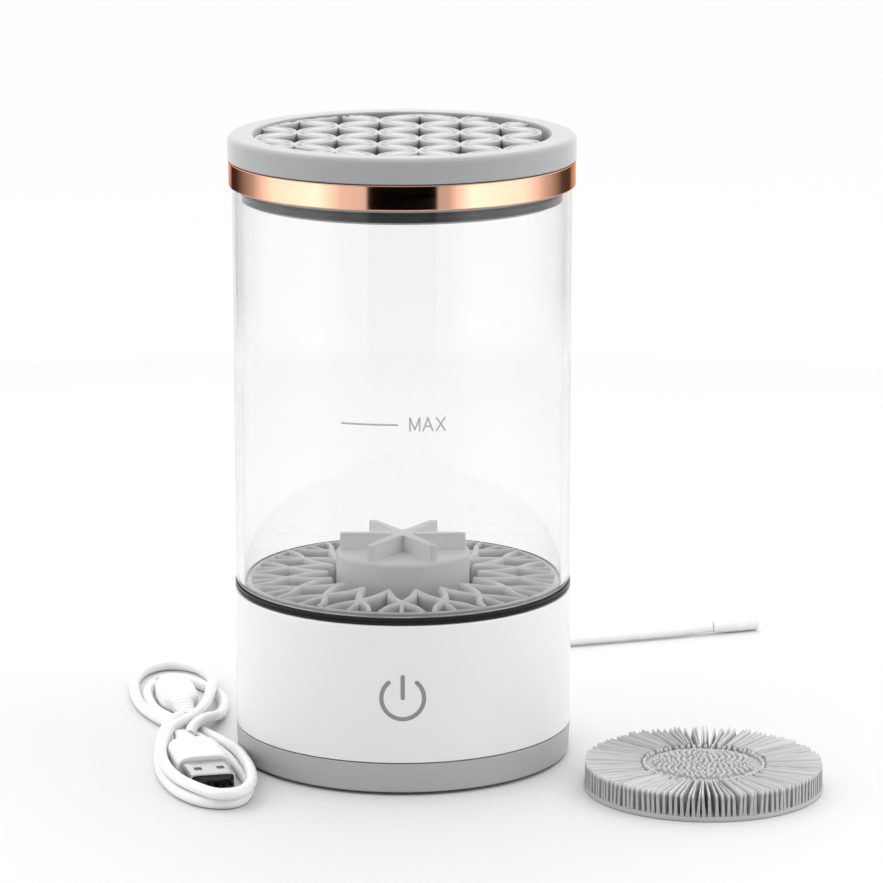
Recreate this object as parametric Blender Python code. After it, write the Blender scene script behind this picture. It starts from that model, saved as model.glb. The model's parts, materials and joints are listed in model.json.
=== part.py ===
"""Electric brush cleaner: a powered base that spins a scrub mat inside a clear cup with a drying lid.

Every size below is in millimetres and MM turns it into Blender's metres. +Z is up, the spin axis is
the Z axis, and the anti-slip pad under the base rests on z = 0. The control mark faces -Y and the
supply cord leaves the rear, towards +Y.
"""
import math

import bmesh
import bpy
from mathutils import Vector
from mathutils.geometry import interpolate_bezier

MM = 0.001
GAP = 0.3                      # clearance kept between neighbouring pieces

# Body of the cleaner, from the ground up
BODY_R = 45.4                  # outer radius of the base shell
CUP_R = 45.0                   # outer radius of the clear cup
CUP_WALL = 2.2
CUP_BORE = CUP_R - CUP_WALL
RIM_SEGMENTS = 48              # facets on the large visible rings
INNER_SEGMENTS = 20            # facets on the round pieces inside the base
HOLE_SEGMENTS = 8              # facets on screws and their holes
PAD_R, PAD_TOP = 36.2, 1.4
FOOT_BOTTOM, FOOT_TOP, FOOT_BORE = 0.9, 8.8, 41.6
COVER_BOTTOM, COVER_TOP = 1.7, 3.2
BOARD_BOTTOM, BOARD_TOP = 9.0, 10.6
BOARD_FRONT, BOARD_BACK = -36.0, -18.0
SCREW_HOLE_R = 1.3
SHELL_TOP = 46.2
LEDGE_Z, LEDGE_R = 37.5, 42.7  # shelf inside the shell that carries the deck
COLLAR_R = 44.1                # bore of the shell's thin upper collar
DECK_BOTTOM, DECK_TOP, DECK_R = 37.8, 41.0, 43.8
SEAM_BOTTOM, SEAM_TOP = 46.5, 49.1
TONGUE_BOTTOM, TONGUE_R = 41.3, 43.8
CUP_TOP = 158.9

# Posts that tie the deck to the bottom cover
POST_R, POST_CIRCLE = 3.0, 38.6
POST_ANGLES = (45, 135, 225, 315)

# Lid
LATTICE_R = 39.4               # radius of the open lattice field
LID_R = 46.15
LID_BOTTOM, LID_TOP = 162.3, 168.9
LATTICE_TOP = 168.1
BAND_R, BAND_BOTTOM, BAND_TOP = 46.0, 155.5, 162.0
PLUG_BORE = 39.9               # clear opening through the lid carrier
CELL = 15.32                   # side of the square lattice cell
PETAL_CLEARANCE = 0.15         # keeps a neck between the points of two star holes
LATTICE_SHIFT = (-0.9, 1.4)    # the lattice is moulded slightly off the lid's centre

# Drive train: two spur stages between parallel vertical shafts
PRESSURE_ANGLE = math.radians(25)
MOTOR_MODULE, PINION_TEETH, WHEEL_TEETH = 0.6, 12, 36
DRIVE_MODULE, SMALL_TEETH, OUTPUT_TEETH = 0.7, 12, 36
IDLER_Y = DRIVE_MODULE * (SMALL_TEETH + OUTPUT_TEETH) / 2
MOTOR_X = -MOTOR_MODULE * (PINION_TEETH + WHEEL_TEETH) / 2
TRAY_BOTTOM, TRAY_FLOOR, TRAY_TOP = 24.3, 26.1, 34.6
GEARBOX_TOP = 37.5
TRAY_X, TRAY_Y, TRAY_WALL, TRAY_CHAMFER = (-23.4, 16.0), (-16.0, 30.6), 1.6, 6.0
SHAFT_R, BUSH_R, GEAR_BORE = 2.8, 4.0, 3.1
IDLER_PIN_R, IDLER_BORE = 1.4, 1.7
MOTOR_R, MOTOR_BOTTOM, MOTOR_TOP = 10.2, 6.6, 24.0

# Spinner and scrub mat
CARRIER_BOTTOM, CARRIER_TOP, CARRIER_R = 42.4, 43.4, 41.8
MAT_BOTTOM, MAT_TOP, MAT_R = 43.7, 48.4, 42.1
MAT_FOLDS = 18                 # the mat's lattice repeats this many times
TIP_R, NODE_R = 20.4, 31.5     # inner rib tips and rib crossings
RIB_HALF = 0.85
HUB_R, HUB_TOP, VANE_TOP = 18.0, 55.9, 60.5
VANE_R, VANE_HALF = 16.9, 1.15
VANE_COUNT = 6

# Spare bristle mat, which lies beside the base
SPARE_CENTRE = (80.5, -36.0)
SPARE_R, SPARE_BASE, SPARE_TOP = 31.75, 1.4, 7.8
NUB_DISC_R = 15.2

# Supply cord
CORD_R = 1.6
OUTLET_Z = 13.0
CORD_END_Z = 2.25
CORD_ROUTE = (
    (0.0, 58.0, 12.5), (0.3, 64.0, 11.0), (2.0, 71.5, 7.8), (5.6, 79.0, 4.8), (11.6, 86.4, 2.9),
    (19.8, 92.6, 2.1), (29.4, 97.8, 1.9), (39.6, 101.8, 1.9), (50.4, 105.2, 1.9), (61.4, 108.6, 1.9),
    (72.4, 112.2, 1.9), (82.6, 115.8, 2.0), (91.2, 118.8, CORD_END_Z),
)
SOCKET_R, SOCKET_BORE, SOCKET_LENGTH, SOCKET_DEPTH = 2.1, 1.2, 14.5, 7.5

# Loose charging lead, folded into a figure-of-eight hank
LEAD_TOP = 6.9
LOOP_WALL = 4.0
LOOP_THROAT = 7.5              # solid crossing left at the start of each loop
LOOPS = (                      # start, length, half width and heading in degrees
    ((-59.9, 6.5), 75.0, 16.2, 97.1),
    ((-60.5, 13.5), 72.0, 14.4, -80.4),
)
USB_REAR, USB_AIM = (-55.8, -14.0), -170.0
MICRO_REAR, MICRO_AIM = (-63.1, 31.5), 7.1


# ---------------------------------------------------------------- building blocks

def material(name, colour, roughness, metallic=0.0, transmission=0.0):
    """Return a plain Principled material."""
    made = bpy.data.materials.new(name)
    made.use_nodes = True
    shader = made.node_tree.nodes["Principled BSDF"]
    shader.inputs["Base Color"].default_value = (*colour, 1.0)
    shader.inputs["Roughness"].default_value = roughness
    shader.inputs["Metallic"].default_value = metallic
    shader.inputs["Transmission Weight"].default_value = transmission
    made.diffuse_color = (*colour, 1.0)
    return made


def add_object(name, bm, finish, location=(0, 0, 0)):
    """Turn a bmesh into a named object with its origin at location, in millimetres."""
    bmesh.ops.recalc_face_normals(bm, faces=bm.faces)
    mesh = bpy.data.meshes.new(name)
    bm.to_mesh(mesh)
    bm.free()
    mesh.shade_smooth()
    mesh.set_sharp_from_angle(angle=math.radians(35))
    if finish:
        mesh.materials.append(finish)
    made = bpy.data.objects.new(name, mesh)
    made.location = Vector(location) * MM
    bpy.context.collection.objects.link(made)
    return made


def cutter(name, bm, location=(0, 0, 0)):
    """Make a helper object that only shapes others and is no part of the model."""
    made = add_object(name, bm, None, location)
    made.hide_render = True
    made.display_type = "WIRE"
    return made


def boolean(target, tool, operation="DIFFERENCE"):
    """Cut tool from target, or join it on with operation UNION."""
    step = target.modifiers.new(tool.name, "BOOLEAN")
    step.operation = operation
    step.solver = "EXACT"
    step.object = tool
    return step


def on_circle(radius, degrees):
    """Return the XY point at this radius and angle."""
    angle = math.radians(degrees)
    return (radius * math.cos(angle), radius * math.sin(angle))


def circle(radius, segments, centre=(0, 0)):
    """Return a regular outline of points around centre."""
    points = []
    for index in range(segments):
        x, y = on_circle(radius, 360 * index / segments)
        points.append((x + centre[0], y + centre[1]))
    return points


def revolve(profile, segments, bm=None, centre=(0, 0)):
    """Turn an (r, z) profile about a vertical axis; a profile clear of the axis makes a ring."""
    bm = bm or bmesh.new()
    rings = []
    for radius, z in profile:
        outline = circle(radius, segments, centre) if radius else [centre]
        rings.append([bm.verts.new((x * MM, y * MM, z * MM)) for x, y in outline])
    pairs = list(zip(rings, rings[1:]))
    if profile[0][0] > 0:
        pairs.append((rings[-1], rings[0]))
    for lower, upper in pairs:
        for index in range(segments):
            following = (index + 1) % segments
            corners = [lower[index % len(lower)], lower[following % len(lower)],
                       upper[following % len(upper)], upper[index % len(upper)]]
            corners = list(dict.fromkeys(corners))
            if len(corners) > 2:
                bm.faces.new(corners)
    return bm


def prism(outline, bottom, top, bm=None):
    """Extrude an XY outline from bottom to top."""
    bm = bm or bmesh.new()
    lower = [bm.verts.new((x * MM, y * MM, bottom * MM)) for x, y in outline]
    upper = [bm.verts.new((x * MM, y * MM, top * MM)) for x, y in outline]
    bm.faces.new(lower)
    bm.faces.new(upper)
    for index in range(len(outline)):
        following = (index + 1) % len(outline)
        bm.faces.new((lower[index], lower[following], upper[following], upper[index]))
    return bm


def loft(sections, bm=None):
    """Join chamfered rectangles along +Y; each section is (y, half width, bottom, top)."""
    bm = bm or bmesh.new()
    rings = []
    for y, half, bottom, top in sections:
        cut = 0.3 * min(half, (top - bottom) / 2)
        corners = ((half - cut, bottom), (half, bottom + cut), (half, top - cut), (half - cut, top),
                   (cut - half, top), (-half, top - cut), (-half, bottom + cut), (cut - half, bottom))
        rings.append([bm.verts.new((x * MM, y * MM, z * MM)) for x, z in corners])
    bm.faces.new(rings[0])
    bm.faces.new(rings[-1])
    for near, far in zip(rings, rings[1:]):
        for index in range(len(near)):
            following = (index + 1) % len(near)
            bm.faces.new((near[index], near[following], far[following], far[index]))
    return bm


def disc(radius, bottom, top):
    """Return the profile of a plain solid disc."""
    return ((0, bottom), (radius, bottom), (radius, top), (0, top))


def ring(inner, outer, bottom, top):
    """Return the profile of a plain rectangular ring."""
    return ((inner, bottom), (outer, bottom), (outer, top), (inner, top))


def inset(outline, distance):
    """Move each edge of a convex outline, given anticlockwise, inwards by distance."""
    points = [Vector(point) for point in outline]
    moved = []
    for index, point in enumerate(points):
        before = (point - points[index - 1]).normalized()
        after = (points[(index + 1) % len(points)] - point).normalized()
        inward = Vector((-before.y, before.x)) + Vector((-after.y, after.x))
        inward.normalize()
        reach = distance / inward.dot(Vector((-before.y, before.x)))
        moved.append(tuple(point + inward * reach))
    return moved


def gear_outline(teeth, module, phase_degrees, backlash=0.05):
    """Return an involute spur gear's outline, with a tooth centred on phase_degrees."""
    steps = 2 if teeth < 20 else 1
    pitch = module * teeth / 2
    base = pitch * math.cos(PRESSURE_ANGLE)
    tip = pitch + 0.8 * module
    root = pitch - 1.05 * module
    involute = math.tan(PRESSURE_ANGLE) - PRESSURE_ANGLE
    half_tooth = math.pi / (2 * teeth) * (1 - backlash) + involute
    start = max(base, root)
    flank = []
    for step in range(steps + 1):
        radius = start + (tip - start) * step / steps
        roll = math.acos(min(1.0, base / radius))
        flank.append((radius, half_tooth - (math.tan(roll) - roll)))
    if root < start:
        flank.insert(0, (root, flank[0][1]))
    points = []
    for tooth in range(teeth):
        middle = math.radians(phase_degrees) + math.tau * tooth / teeth
        for radius, offset in flank:
            points.append((radius * math.cos(middle - offset), radius * math.sin(middle - offset)))
        for radius, offset in reversed(flank):
            points.append((radius * math.cos(middle + offset), radius * math.sin(middle + offset)))
    return points


def screw(name, x, y, head_bottom, head_top, tip, finish, head_r=2.0, shank_r=0.9):
    """Make a vertical screw: its head spans head_bottom to head_top and its shank reaches tip."""
    if tip > head_top:
        profile = ((0, head_bottom), (head_r, head_bottom), (head_r, head_top), (shank_r, head_top),
                   (shank_r, tip), (0, tip))
    else:
        profile = ((0, tip), (shank_r, tip), (shank_r, head_bottom), (head_r, head_bottom),
                   (head_r, head_top), (0, head_top))
    return add_object(name, revolve(profile, HOLE_SEGMENTS), finish, (x, y, 0))


def smooth_route(points, per_span):
    """Read points from a smooth curve through a route's own points."""
    knots = [Vector(point) for point in points]
    tangents = []
    for index in range(len(knots)):
        before = knots[max(index - 1, 0)]
        after = knots[min(index + 1, len(knots) - 1)]
        tangents.append((after - before) / (6 if 0 < index < len(knots) - 1 else 3))
    route = [knots[0]]
    for index in range(len(knots) - 1):
        start, end = knots[index], knots[index + 1]
        handles = (start + tangents[index], end - tangents[index + 1])
        route += interpolate_bezier(start, *handles, end, per_span + 1)[1:]
    return route


def tube(name, route, radius, finish):
    """Make a round cord along a route as a bevelled POLY curve with filled caps."""
    curve = bpy.data.curves.new(name, "CURVE")
    curve.dimensions = "3D"
    curve.bevel_depth = radius * MM
    curve.bevel_resolution = 2
    curve.use_fill_caps = True
    spline = curve.splines.new("POLY")
    spline.points.add(len(route) - 1)
    for point, place in zip(spline.points, route):
        point.co = (*(place * MM), 1.0)
    curve.materials.append(finish)
    made = bpy.data.objects.new(name, curve)
    bpy.context.collection.objects.link(made)
    return made


# ---------------------------------------------------------------- base

def make_foot(grey, rubber, steel):
    """Anti-slip pad, grey foot ring and the bottom cover with its four screws."""
    add_object("anti_slip_pad", revolve(disc(PAD_R, 0, PAD_TOP), RIM_SEGMENTS), rubber)
    outline = ((FOOT_BORE, FOOT_BOTTOM), (43.2, FOOT_BOTTOM), (44.8, 2.4), (BODY_R - 0.05, FOOT_TOP),
               (FOOT_BORE, FOOT_TOP))
    add_object("foot_ring", revolve(outline, RIM_SEGMENTS), grey)
    cover = add_object("bottom_cover", revolve(disc(41.2, COVER_BOTTOM, COVER_TOP), RIM_SEGMENTS), grey)
    pillars = bmesh.new()
    for x in (-16, 16):
        for y in (BOARD_FRONT + 3, BOARD_BACK - 4):
            revolve(disc(1.8, COVER_TOP - 0.6, BOARD_BOTTOM - GAP), HOLE_SEGMENTS, pillars, (x, y))
    boolean(cover, cutter("board_pillars", pillars), "UNION")
    holes = bmesh.new()
    for angle in POST_ANGLES:
        place = on_circle(POST_CIRCLE, angle)
        revolve(disc(SCREW_HOLE_R, 0, 6), HOLE_SEGMENTS, holes, place)
    boolean(cover, cutter("cover_screw_holes", holes))
    for number, angle in enumerate(POST_ANGLES, 1):
        x, y = on_circle(POST_CIRCLE, angle)
        screw(f"cover_screw_{number}", x, y, 0.2, COVER_BOTTOM - GAP / 2, 12, steel, head_r=1.9)
    return cover


def make_shell(white):
    """White outer shell: a ledge inside carries the deck and a hole at the rear passes the cord."""
    outline = ((LEDGE_R, 9.1), (BODY_R, 9.1), (BODY_R, 12), (BODY_R - 0.1, SHELL_TOP - 0.6),
               (BODY_R - 0.5, SHELL_TOP), (COLLAR_R, SHELL_TOP), (COLLAR_R, LEDGE_Z),
               (LEDGE_R, LEDGE_Z))
    shell = add_object("base_shell", revolve(outline, RIM_SEGMENTS), white)
    hole = cutter("cord_hole", revolve(disc(2.7, 38, 48), 16), (0, 0, OUTLET_Z))
    hole.rotation_euler.x = math.radians(-90)
    boolean(shell, hole)


def make_deck(white, rubber):
    """Basin floor with four screw posts, the shaft seal and the rubber seam ring above the shell."""
    profile = ring(6.4, DECK_R, DECK_BOTTOM, DECK_TOP)
    deck = add_object("deck_plate", revolve(profile, RIM_SEGMENTS), white)
    posts, pilots = bmesh.new(), bmesh.new()
    for angle in POST_ANGLES:
        place = on_circle(POST_CIRCLE, angle)
        revolve(disc(POST_R, COVER_TOP + GAP, DECK_BOTTOM + 0.8), 12, posts, place)
        revolve(disc(SCREW_HOLE_R, 0, 14), HOLE_SEGMENTS, pilots, place)
    for x, y in gearbox_corners():
        revolve(disc(SCREW_HOLE_R, DECK_BOTTOM - 1, 40.2), HOLE_SEGMENTS, pilots, (x, y))
    boolean(deck, cutter("deck_posts", posts), "UNION")
    boolean(deck, cutter("deck_pilots", pilots))

    seal = ((SHAFT_R + 0.25, 38.2), (6.1, 38.2), (6.1, 41.3), (7.6, 41.3), (7.6, 42.0),
            (SHAFT_R + 0.25, 42.0))
    add_object("shaft_seal", revolve(seal, INNER_SEGMENTS), rubber)
    seam = ((COLLAR_R, SEAM_BOTTOM), (45.2, SEAM_BOTTOM), (44.9, 47.8), (45.2, SEAM_TOP),
            (COLLAR_R, SEAM_TOP))
    add_object("cup_gasket", revolve(seam, RIM_SEGMENTS), rubber)


def make_electronics(board_green, black, copper, tinned):
    """Circuit board with its controller and capacitor, and the touch pad behind the power mark."""
    outline = ((-20, BOARD_FRONT), (20, BOARD_FRONT), (20, BOARD_BACK), (-20, BOARD_BACK))
    add_object("circuit_board", prism(outline, BOARD_BOTTOM, BOARD_TOP), board_green)
    mounted = BOARD_TOP + GAP
    chip = prism(((-5, -31), (2, -31), (2, -24), (-5, -24)), mounted, mounted + 1.5)
    add_object("control_chip", chip, black)
    capacitor = revolve(disc(2.5, mounted, mounted + 7.6), INNER_SEGMENTS)
    add_object("capacitor", capacitor, tinned, (11, -27, 0))
    pad = add_object("touch_pad", revolve(disc(6.5, 0, 0.5), 24), copper, (0, -41.1, 26.4))
    pad.rotation_euler.x = math.radians(90)


# ---------------------------------------------------------------- drive

def tray_outline(offset, chamfer):
    """Return the gearbox's rectangular outline moved in by offset, with its corners cut."""
    left, right = TRAY_X[0] + offset, TRAY_X[1] - offset
    front, back = TRAY_Y[0] + offset, TRAY_Y[1] - offset
    return [(left + chamfer, front), (right - chamfer, front), (right, front + chamfer),
            (right, back - chamfer), (right - chamfer, back), (left + chamfer, back),
            (left, back - chamfer), (left, front + chamfer)]


def gearbox_corners():
    """Return the four screw positions in the gearbox's solid corners."""
    reach = TRAY_WALL + 1.2
    left, right = TRAY_X[0] + reach, TRAY_X[1] - reach
    front, back = TRAY_Y[0] + reach, TRAY_Y[1] - reach
    return ((left, front), (right, front), (right, back), (left, back))


def make_gearbox(black, brass, steel):
    """Gear tray, its lid, four long screws, the idler pin and the two shaft bushes."""
    outer = tray_outline(0, 0.8)
    tray = add_object("gearbox_tray", prism(outer, TRAY_BOTTOM, TRAY_TOP), black)
    cavity = prism(tray_outline(TRAY_WALL, TRAY_CHAMFER), TRAY_FLOOR, TRAY_TOP + 2)
    boolean(tray, cutter("tray_cavity", cavity))
    holes = bmesh.new()
    through = (TRAY_BOTTOM - 2, GEARBOX_TOP + 2)
    revolve(disc(BUSH_R + GAP, *through), INNER_SEGMENTS, holes)
    revolve(disc(IDLER_BORE, *through), 12, holes, (0, IDLER_Y))
    for x, y in gearbox_corners():
        revolve(disc(SCREW_HOLE_R, *through), HOLE_SEGMENTS, holes, (x, y))
    shared = cutter("gearbox_holes", holes)
    boolean(tray, shared)
    motor_holes = bmesh.new()
    revolve(disc(2.6, TRAY_BOTTOM - 2, TRAY_FLOOR + 1), 12, motor_holes, (MOTOR_X, IDLER_Y))
    for x, y in motor_screw_places():
        revolve(disc(SCREW_HOLE_R, TRAY_BOTTOM - 2, TRAY_FLOOR + 1), HOLE_SEGMENTS, motor_holes, (x, y))
    boolean(tray, cutter("motor_holes", motor_holes))
    lid = add_object("gearbox_lid", prism(outer, TRAY_TOP + GAP, GEARBOX_TOP), black)
    boolean(lid, shared)

    for number, (x, y) in enumerate(gearbox_corners(), 1):
        screw(f"gearbox_screw_{number}", x, y, TRAY_BOTTOM - 1.8, TRAY_BOTTOM - GAP, 39.8, steel)
    pin = disc(IDLER_PIN_R, TRAY_BOTTOM + 0.2, GEARBOX_TOP - 0.3)
    add_object("idler_pin", revolve(pin, 12), steel, (0, IDLER_Y, 0))
    bush = SHAFT_R + 0.15
    add_object("lower_bush", revolve(ring(bush, BUSH_R, 23.9, 26.6), INNER_SEGMENTS), brass)
    add_object("upper_bush", revolve(ring(bush, BUSH_R, 34.9, 37.4), INNER_SEGMENTS), brass)


def make_gears(nylon, brass, steel):
    """Output gear on the drive shaft, the two-step idler and the motor pinion, all in mesh."""
    add_object("drive_shaft", revolve(disc(SHAFT_R, 23.6, 51.6), INNER_SEGMENTS), steel)
    outline = gear_outline(OUTPUT_TEETH, DRIVE_MODULE, 0)
    output = add_object("output_gear", prism(outline, 30.9, 34.0), nylon)
    boolean(output, cutter("output_bore", revolve(disc(GEAR_BORE, 29, 36), INNER_SEGMENTS)))

    place = (0, IDLER_Y, 0)
    outline = gear_outline(WHEEL_TEETH, MOTOR_MODULE, 0)
    idler = add_object("idler_gear", prism(outline, 27.0, 29.6), nylon, place)
    outline = gear_outline(SMALL_TEETH, DRIVE_MODULE, 180 / SMALL_TEETH)
    boolean(idler, cutter("idler_small_gear", prism(outline, 29.2, 34.2), place), "UNION")
    boolean(idler, cutter("idler_bore", revolve(disc(IDLER_BORE, 26, 36), 12), place))

    place = (MOTOR_X, IDLER_Y, 0)
    outline = gear_outline(PINION_TEETH, MOTOR_MODULE, 180 / PINION_TEETH)
    pinion = add_object("motor_pinion", prism(outline, 26.7, 30.2), brass, place)
    boolean(pinion, cutter("pinion_bore", revolve(disc(1.3, 25, 32), 12), place))


def motor_screw_places():
    """Return the two motor screws' centres, either side of the motor's axis."""
    places = []
    for angle in (60, 240):
        x, y = on_circle(6.5, angle)
        places.append((MOTOR_X + x, IDLER_Y + y))
    return places


def make_motor(steel, black, copper, magnet_grey):
    """Small direct-current motor hung under the gear tray."""
    place = (MOTOR_X, IDLER_Y, 0)
    can = ((MOTOR_R - 0.8, 9.4), (MOTOR_R, 9.4), (MOTOR_R, MOTOR_TOP), (1.6, MOTOR_TOP),
           (1.6, MOTOR_TOP - 1.6), (MOTOR_R - 0.8, MOTOR_TOP - 1.6))
    motor_can = add_object("motor_can", revolve(can, INNER_SEGMENTS), steel, place)
    holes = bmesh.new()
    for x, y in motor_screw_places():
        revolve(disc(SCREW_HOLE_R, 20, 26), HOLE_SEGMENTS, holes, (x - MOTOR_X, y - IDLER_Y))
    boolean(motor_can, cutter("can_screw_holes", holes, place))
    cap = ((0, MOTOR_BOTTOM), (MOTOR_R, MOTOR_BOTTOM), (MOTOR_R, 9.1), (1.6, 9.1), (1.6, 7.6), (0, 7.6))
    add_object("motor_end_cap", revolve(cap, INNER_SEGMENTS), black, place)
    add_object("motor_magnet", revolve(ring(7.6, 9.1, 10.4, 20.2), INNER_SEGMENTS), magnet_grey, place)
    rotor = ((0, 7.9), (1.0, 7.9), (1.0, 11.0), (7.1, 11.0), (7.1, 19.6), (1.0, 19.6), (1.0, 30.6),
             (0, 30.6))
    add_object("motor_armature", revolve(rotor, INNER_SEGMENTS), copper, place)
    for number, (x, y) in enumerate(motor_screw_places(), 1):
        screw(f"motor_screw_{number}", x, y, TRAY_FLOOR + 0.15, 26.9, 22.9, steel, head_r=1.6)


# ---------------------------------------------------------------- spinner and scrub mat

def make_spinner(dark, silicone):
    """Carrier disc and the hub with its six vanes, both driven by the shaft."""
    profile = ring(SHAFT_R + GAP, CARRIER_R, CARRIER_BOTTOM, CARRIER_TOP)
    add_object("mat_carrier", revolve(profile, RIM_SEGMENTS), dark)

    socket_r = SHAFT_R + GAP
    drum = ((0, 52.0), (socket_r, 52.0), (socket_r, MAT_BOTTOM), (HUB_R, MAT_BOTTOM),
            (HUB_R, HUB_TOP - 0.8), (HUB_R - 0.8, HUB_TOP), (0, HUB_TOP))
    hub = add_object("spinner_hub", revolve(drum, 36), silicone)
    for number in range(VANE_COUNT // 2):
        turn = math.radians(360 / VANE_COUNT * number)
        along = Vector((math.cos(turn), math.sin(turn)))
        across = Vector((-math.sin(turn), math.cos(turn))) * VANE_HALF
        outline = [tuple(along * side * VANE_R + across * lean)
                   for side, lean in ((-1, -1), (1, -1), (1, 1), (-1, 1))]
        vane = prism(outline, HUB_TOP - 1.0, VANE_TOP - 0.01 * number)
        boolean(hub, cutter(f"vane_pair_{number + 1}", vane), "UNION")


def mat_cells():
    """Return the outlines of the holes in the scrub mat's crossing ribs, anticlockwise."""
    half_step = 180 / MAT_FOLDS
    rim_r = MAT_R - 0.2
    notch_r = TIP_R - 3
    cells = []
    for fold in range(MAT_FOLDS):
        facing = 270 + 2 * half_step * fold
        left, right = facing - half_step, facing + half_step
        node = on_circle(NODE_R, facing)
        next_node = on_circle(NODE_R, right + half_step)
        left_tip, right_tip = on_circle(TIP_R, left), on_circle(TIP_R, right)
        left_rim, right_rim = on_circle(rim_r, left), on_circle(rim_r, right)
        middle_rim = on_circle(rim_r, facing)
        right_notch, left_notch = on_circle(notch_r, right - 1), on_circle(notch_r, left + 1)
        for outline in ((right_tip, node, right_rim, next_node),
                        (node, left_rim, middle_rim),
                        (node, middle_rim, right_rim),
                        (node, right_tip, right_notch, left_notch, left_tip)):
            cells.append(inset(outline, RIB_HALF))
    return cells


def make_scrub_mat(silicone):
    """Lift-out silicone mat: a ring of tall crossing ribs."""
    mat = add_object("scrub_mat", revolve(ring(TIP_R - 1, MAT_R, MAT_BOTTOM, MAT_TOP), 36), silicone)
    holes = bmesh.new()
    for outline in mat_cells():
        prism(outline, MAT_BOTTOM - 1, MAT_TOP + 1, holes)
    boolean(mat, cutter("mat_cells", holes))


# ---------------------------------------------------------------- cup and lid

def make_cup(clear):
    """Clear cup wall, open at both ends, with a stepped tongue that drops inside the base collar."""
    outline = ((CUP_BORE, TONGUE_BOTTOM), (TONGUE_R, TONGUE_BOTTOM), (TONGUE_R, SEAM_TOP + GAP),
               (CUP_R, SEAM_TOP + GAP), (CUP_R, CUP_TOP), (CUP_BORE, CUP_TOP))
    add_object("cup", revolve(outline, RIM_SEGMENTS), clear)


def star_outline(centre, steps=2):
    """Return the four-pointed hole left between four petals, as four concave arcs."""
    radius = CELL / math.sqrt(2) + PETAL_CLEARANCE
    point = (CELL - math.sqrt(2 * radius ** 2 - CELL ** 2)) / 2
    sweep = math.atan2(point, CELL - point)
    outline = []
    for side in range(4):
        facing = math.radians(90 * side + 45)
        for step in range(steps):
            angle = facing + math.pi + sweep * (1 - 2 * step / steps)
            outline.append((centre[0] + CELL * math.cos(facing) + radius * math.cos(angle),
                            centre[1] + CELL * math.sin(facing) + radius * math.sin(angle)))
    return outline


def star_centres():
    """Return the lattice's hole centres; its rows run at 45 degrees, with a petal on the axis."""
    half_diagonal = CELL / math.sqrt(2)
    centres = []
    for column in range(-4, 5):
        for row in range(-4, 5):
            if (column + row) % 2:
                continue
            x = (column + 0.5) * half_diagonal + LATTICE_SHIFT[0]
            y = (row + 0.5) * half_diagonal + LATTICE_SHIFT[1]
            centres.append((x, y))
    return centres


def make_lid(silicone, gold, frost, rubber):
    """Drying lid: silicone lattice top, metallised band, inner carrier and its sealing ring."""
    outline = ((0, LID_BOTTOM), (LID_R, LID_BOTTOM), (LID_R, 167.2), (44.8, LID_TOP),
               (40.8, LID_TOP), (LATTICE_R + 0.3, LATTICE_TOP), (0, LATTICE_TOP))
    lid = add_object("lid_top", revolve(outline, RIM_SEGMENTS), silicone)
    stars = bmesh.new()
    for centre in star_centres():
        if math.hypot(*centre) < LATTICE_R + 6:
            prism(star_outline(centre), LID_BOTTOM - 2, LID_TOP + 2, stars)
    field = cutter("lattice_field", revolve(disc(LATTICE_R, LID_BOTTOM - 3, LID_TOP + 3), 32))
    holes = cutter("star_holes", stars)
    boolean(holes, field, "INTERSECT")
    boolean(lid, holes)

    carrier = ((PLUG_BORE, 151.2), (41.0, 151.2), (41.0, 154.6), (42.5, 154.6), (42.5, CUP_TOP + GAP),
               (45.05, CUP_TOP + GAP), (45.05, BAND_TOP), (PLUG_BORE, BAND_TOP))
    add_object("lid_carrier", revolve(carrier, RIM_SEGMENTS), frost)
    add_object("lid_gasket", revolve(ring(41.3, 42.6, 151.9, 154.3), RIM_SEGMENTS), rubber)
    add_object("lid_band", revolve(ring(45.35, BAND_R, BAND_BOTTOM, BAND_TOP), RIM_SEGMENTS), gold)


# ---------------------------------------------------------------- cord, lead and spare mat

def make_cord(white, steel):
    """Captive supply cord from the rear of the base to an in-line socket."""
    relief = ((0, 40.6), (3.8, 40.6), (3.8, 42.1), (2.4, 42.1), (2.4, 45.9), (3.1, 45.9), (3.0, 47.5),
              (CORD_R + 0.3, 57.6), (0, 57.6))
    sleeve = add_object("strain_relief", revolve(relief, 16), white, (0, 0, OUTLET_Z))
    sleeve.rotation_euler.x = math.radians(-90)
    route = smooth_route(CORD_ROUTE, 2)
    tube("supply_cord", route, CORD_R, white)

    direction = (route[-1] - route[-2]).normalized()
    start = route[-1] + direction * GAP
    turn = math.atan2(direction.y, direction.x) - math.pi / 2
    body = ((0, 0), (CORD_R + 0.1, 0), (SOCKET_R, 5.0), (SOCKET_R, SOCKET_LENGTH),
            (SOCKET_BORE, SOCKET_LENGTH), (SOCKET_BORE, SOCKET_DEPTH), (0, SOCKET_DEPTH))
    pin = disc(0.5, SOCKET_DEPTH + GAP, SOCKET_LENGTH - 1)
    pieces = (add_object("inline_socket", revolve(body, 16), white, (start.x, start.y, CORD_END_Z)),
              add_object("socket_contact", revolve(pin, 8), steel, (start.x, start.y, CORD_END_Z)))
    for piece in pieces:
        piece.rotation_euler = (math.radians(-90), 0, turn)


def teardrop(start, length, half_width, heading, segments=24):
    """Return a closed drop outline: narrow at its start and round at its far end."""
    turn = math.radians(heading)
    points = []
    for index in range(1, segments):
        angle = math.tau * index / segments
        along = length * (1 - math.cos(angle)) / 2
        across = -half_width * math.sin(angle) * math.sin(angle / 2) ** 0.6
        points.append((start[0] + along * math.cos(turn) - across * math.sin(turn),
                       start[1] + along * math.sin(turn) + across * math.cos(turn)))
    return points


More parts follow.
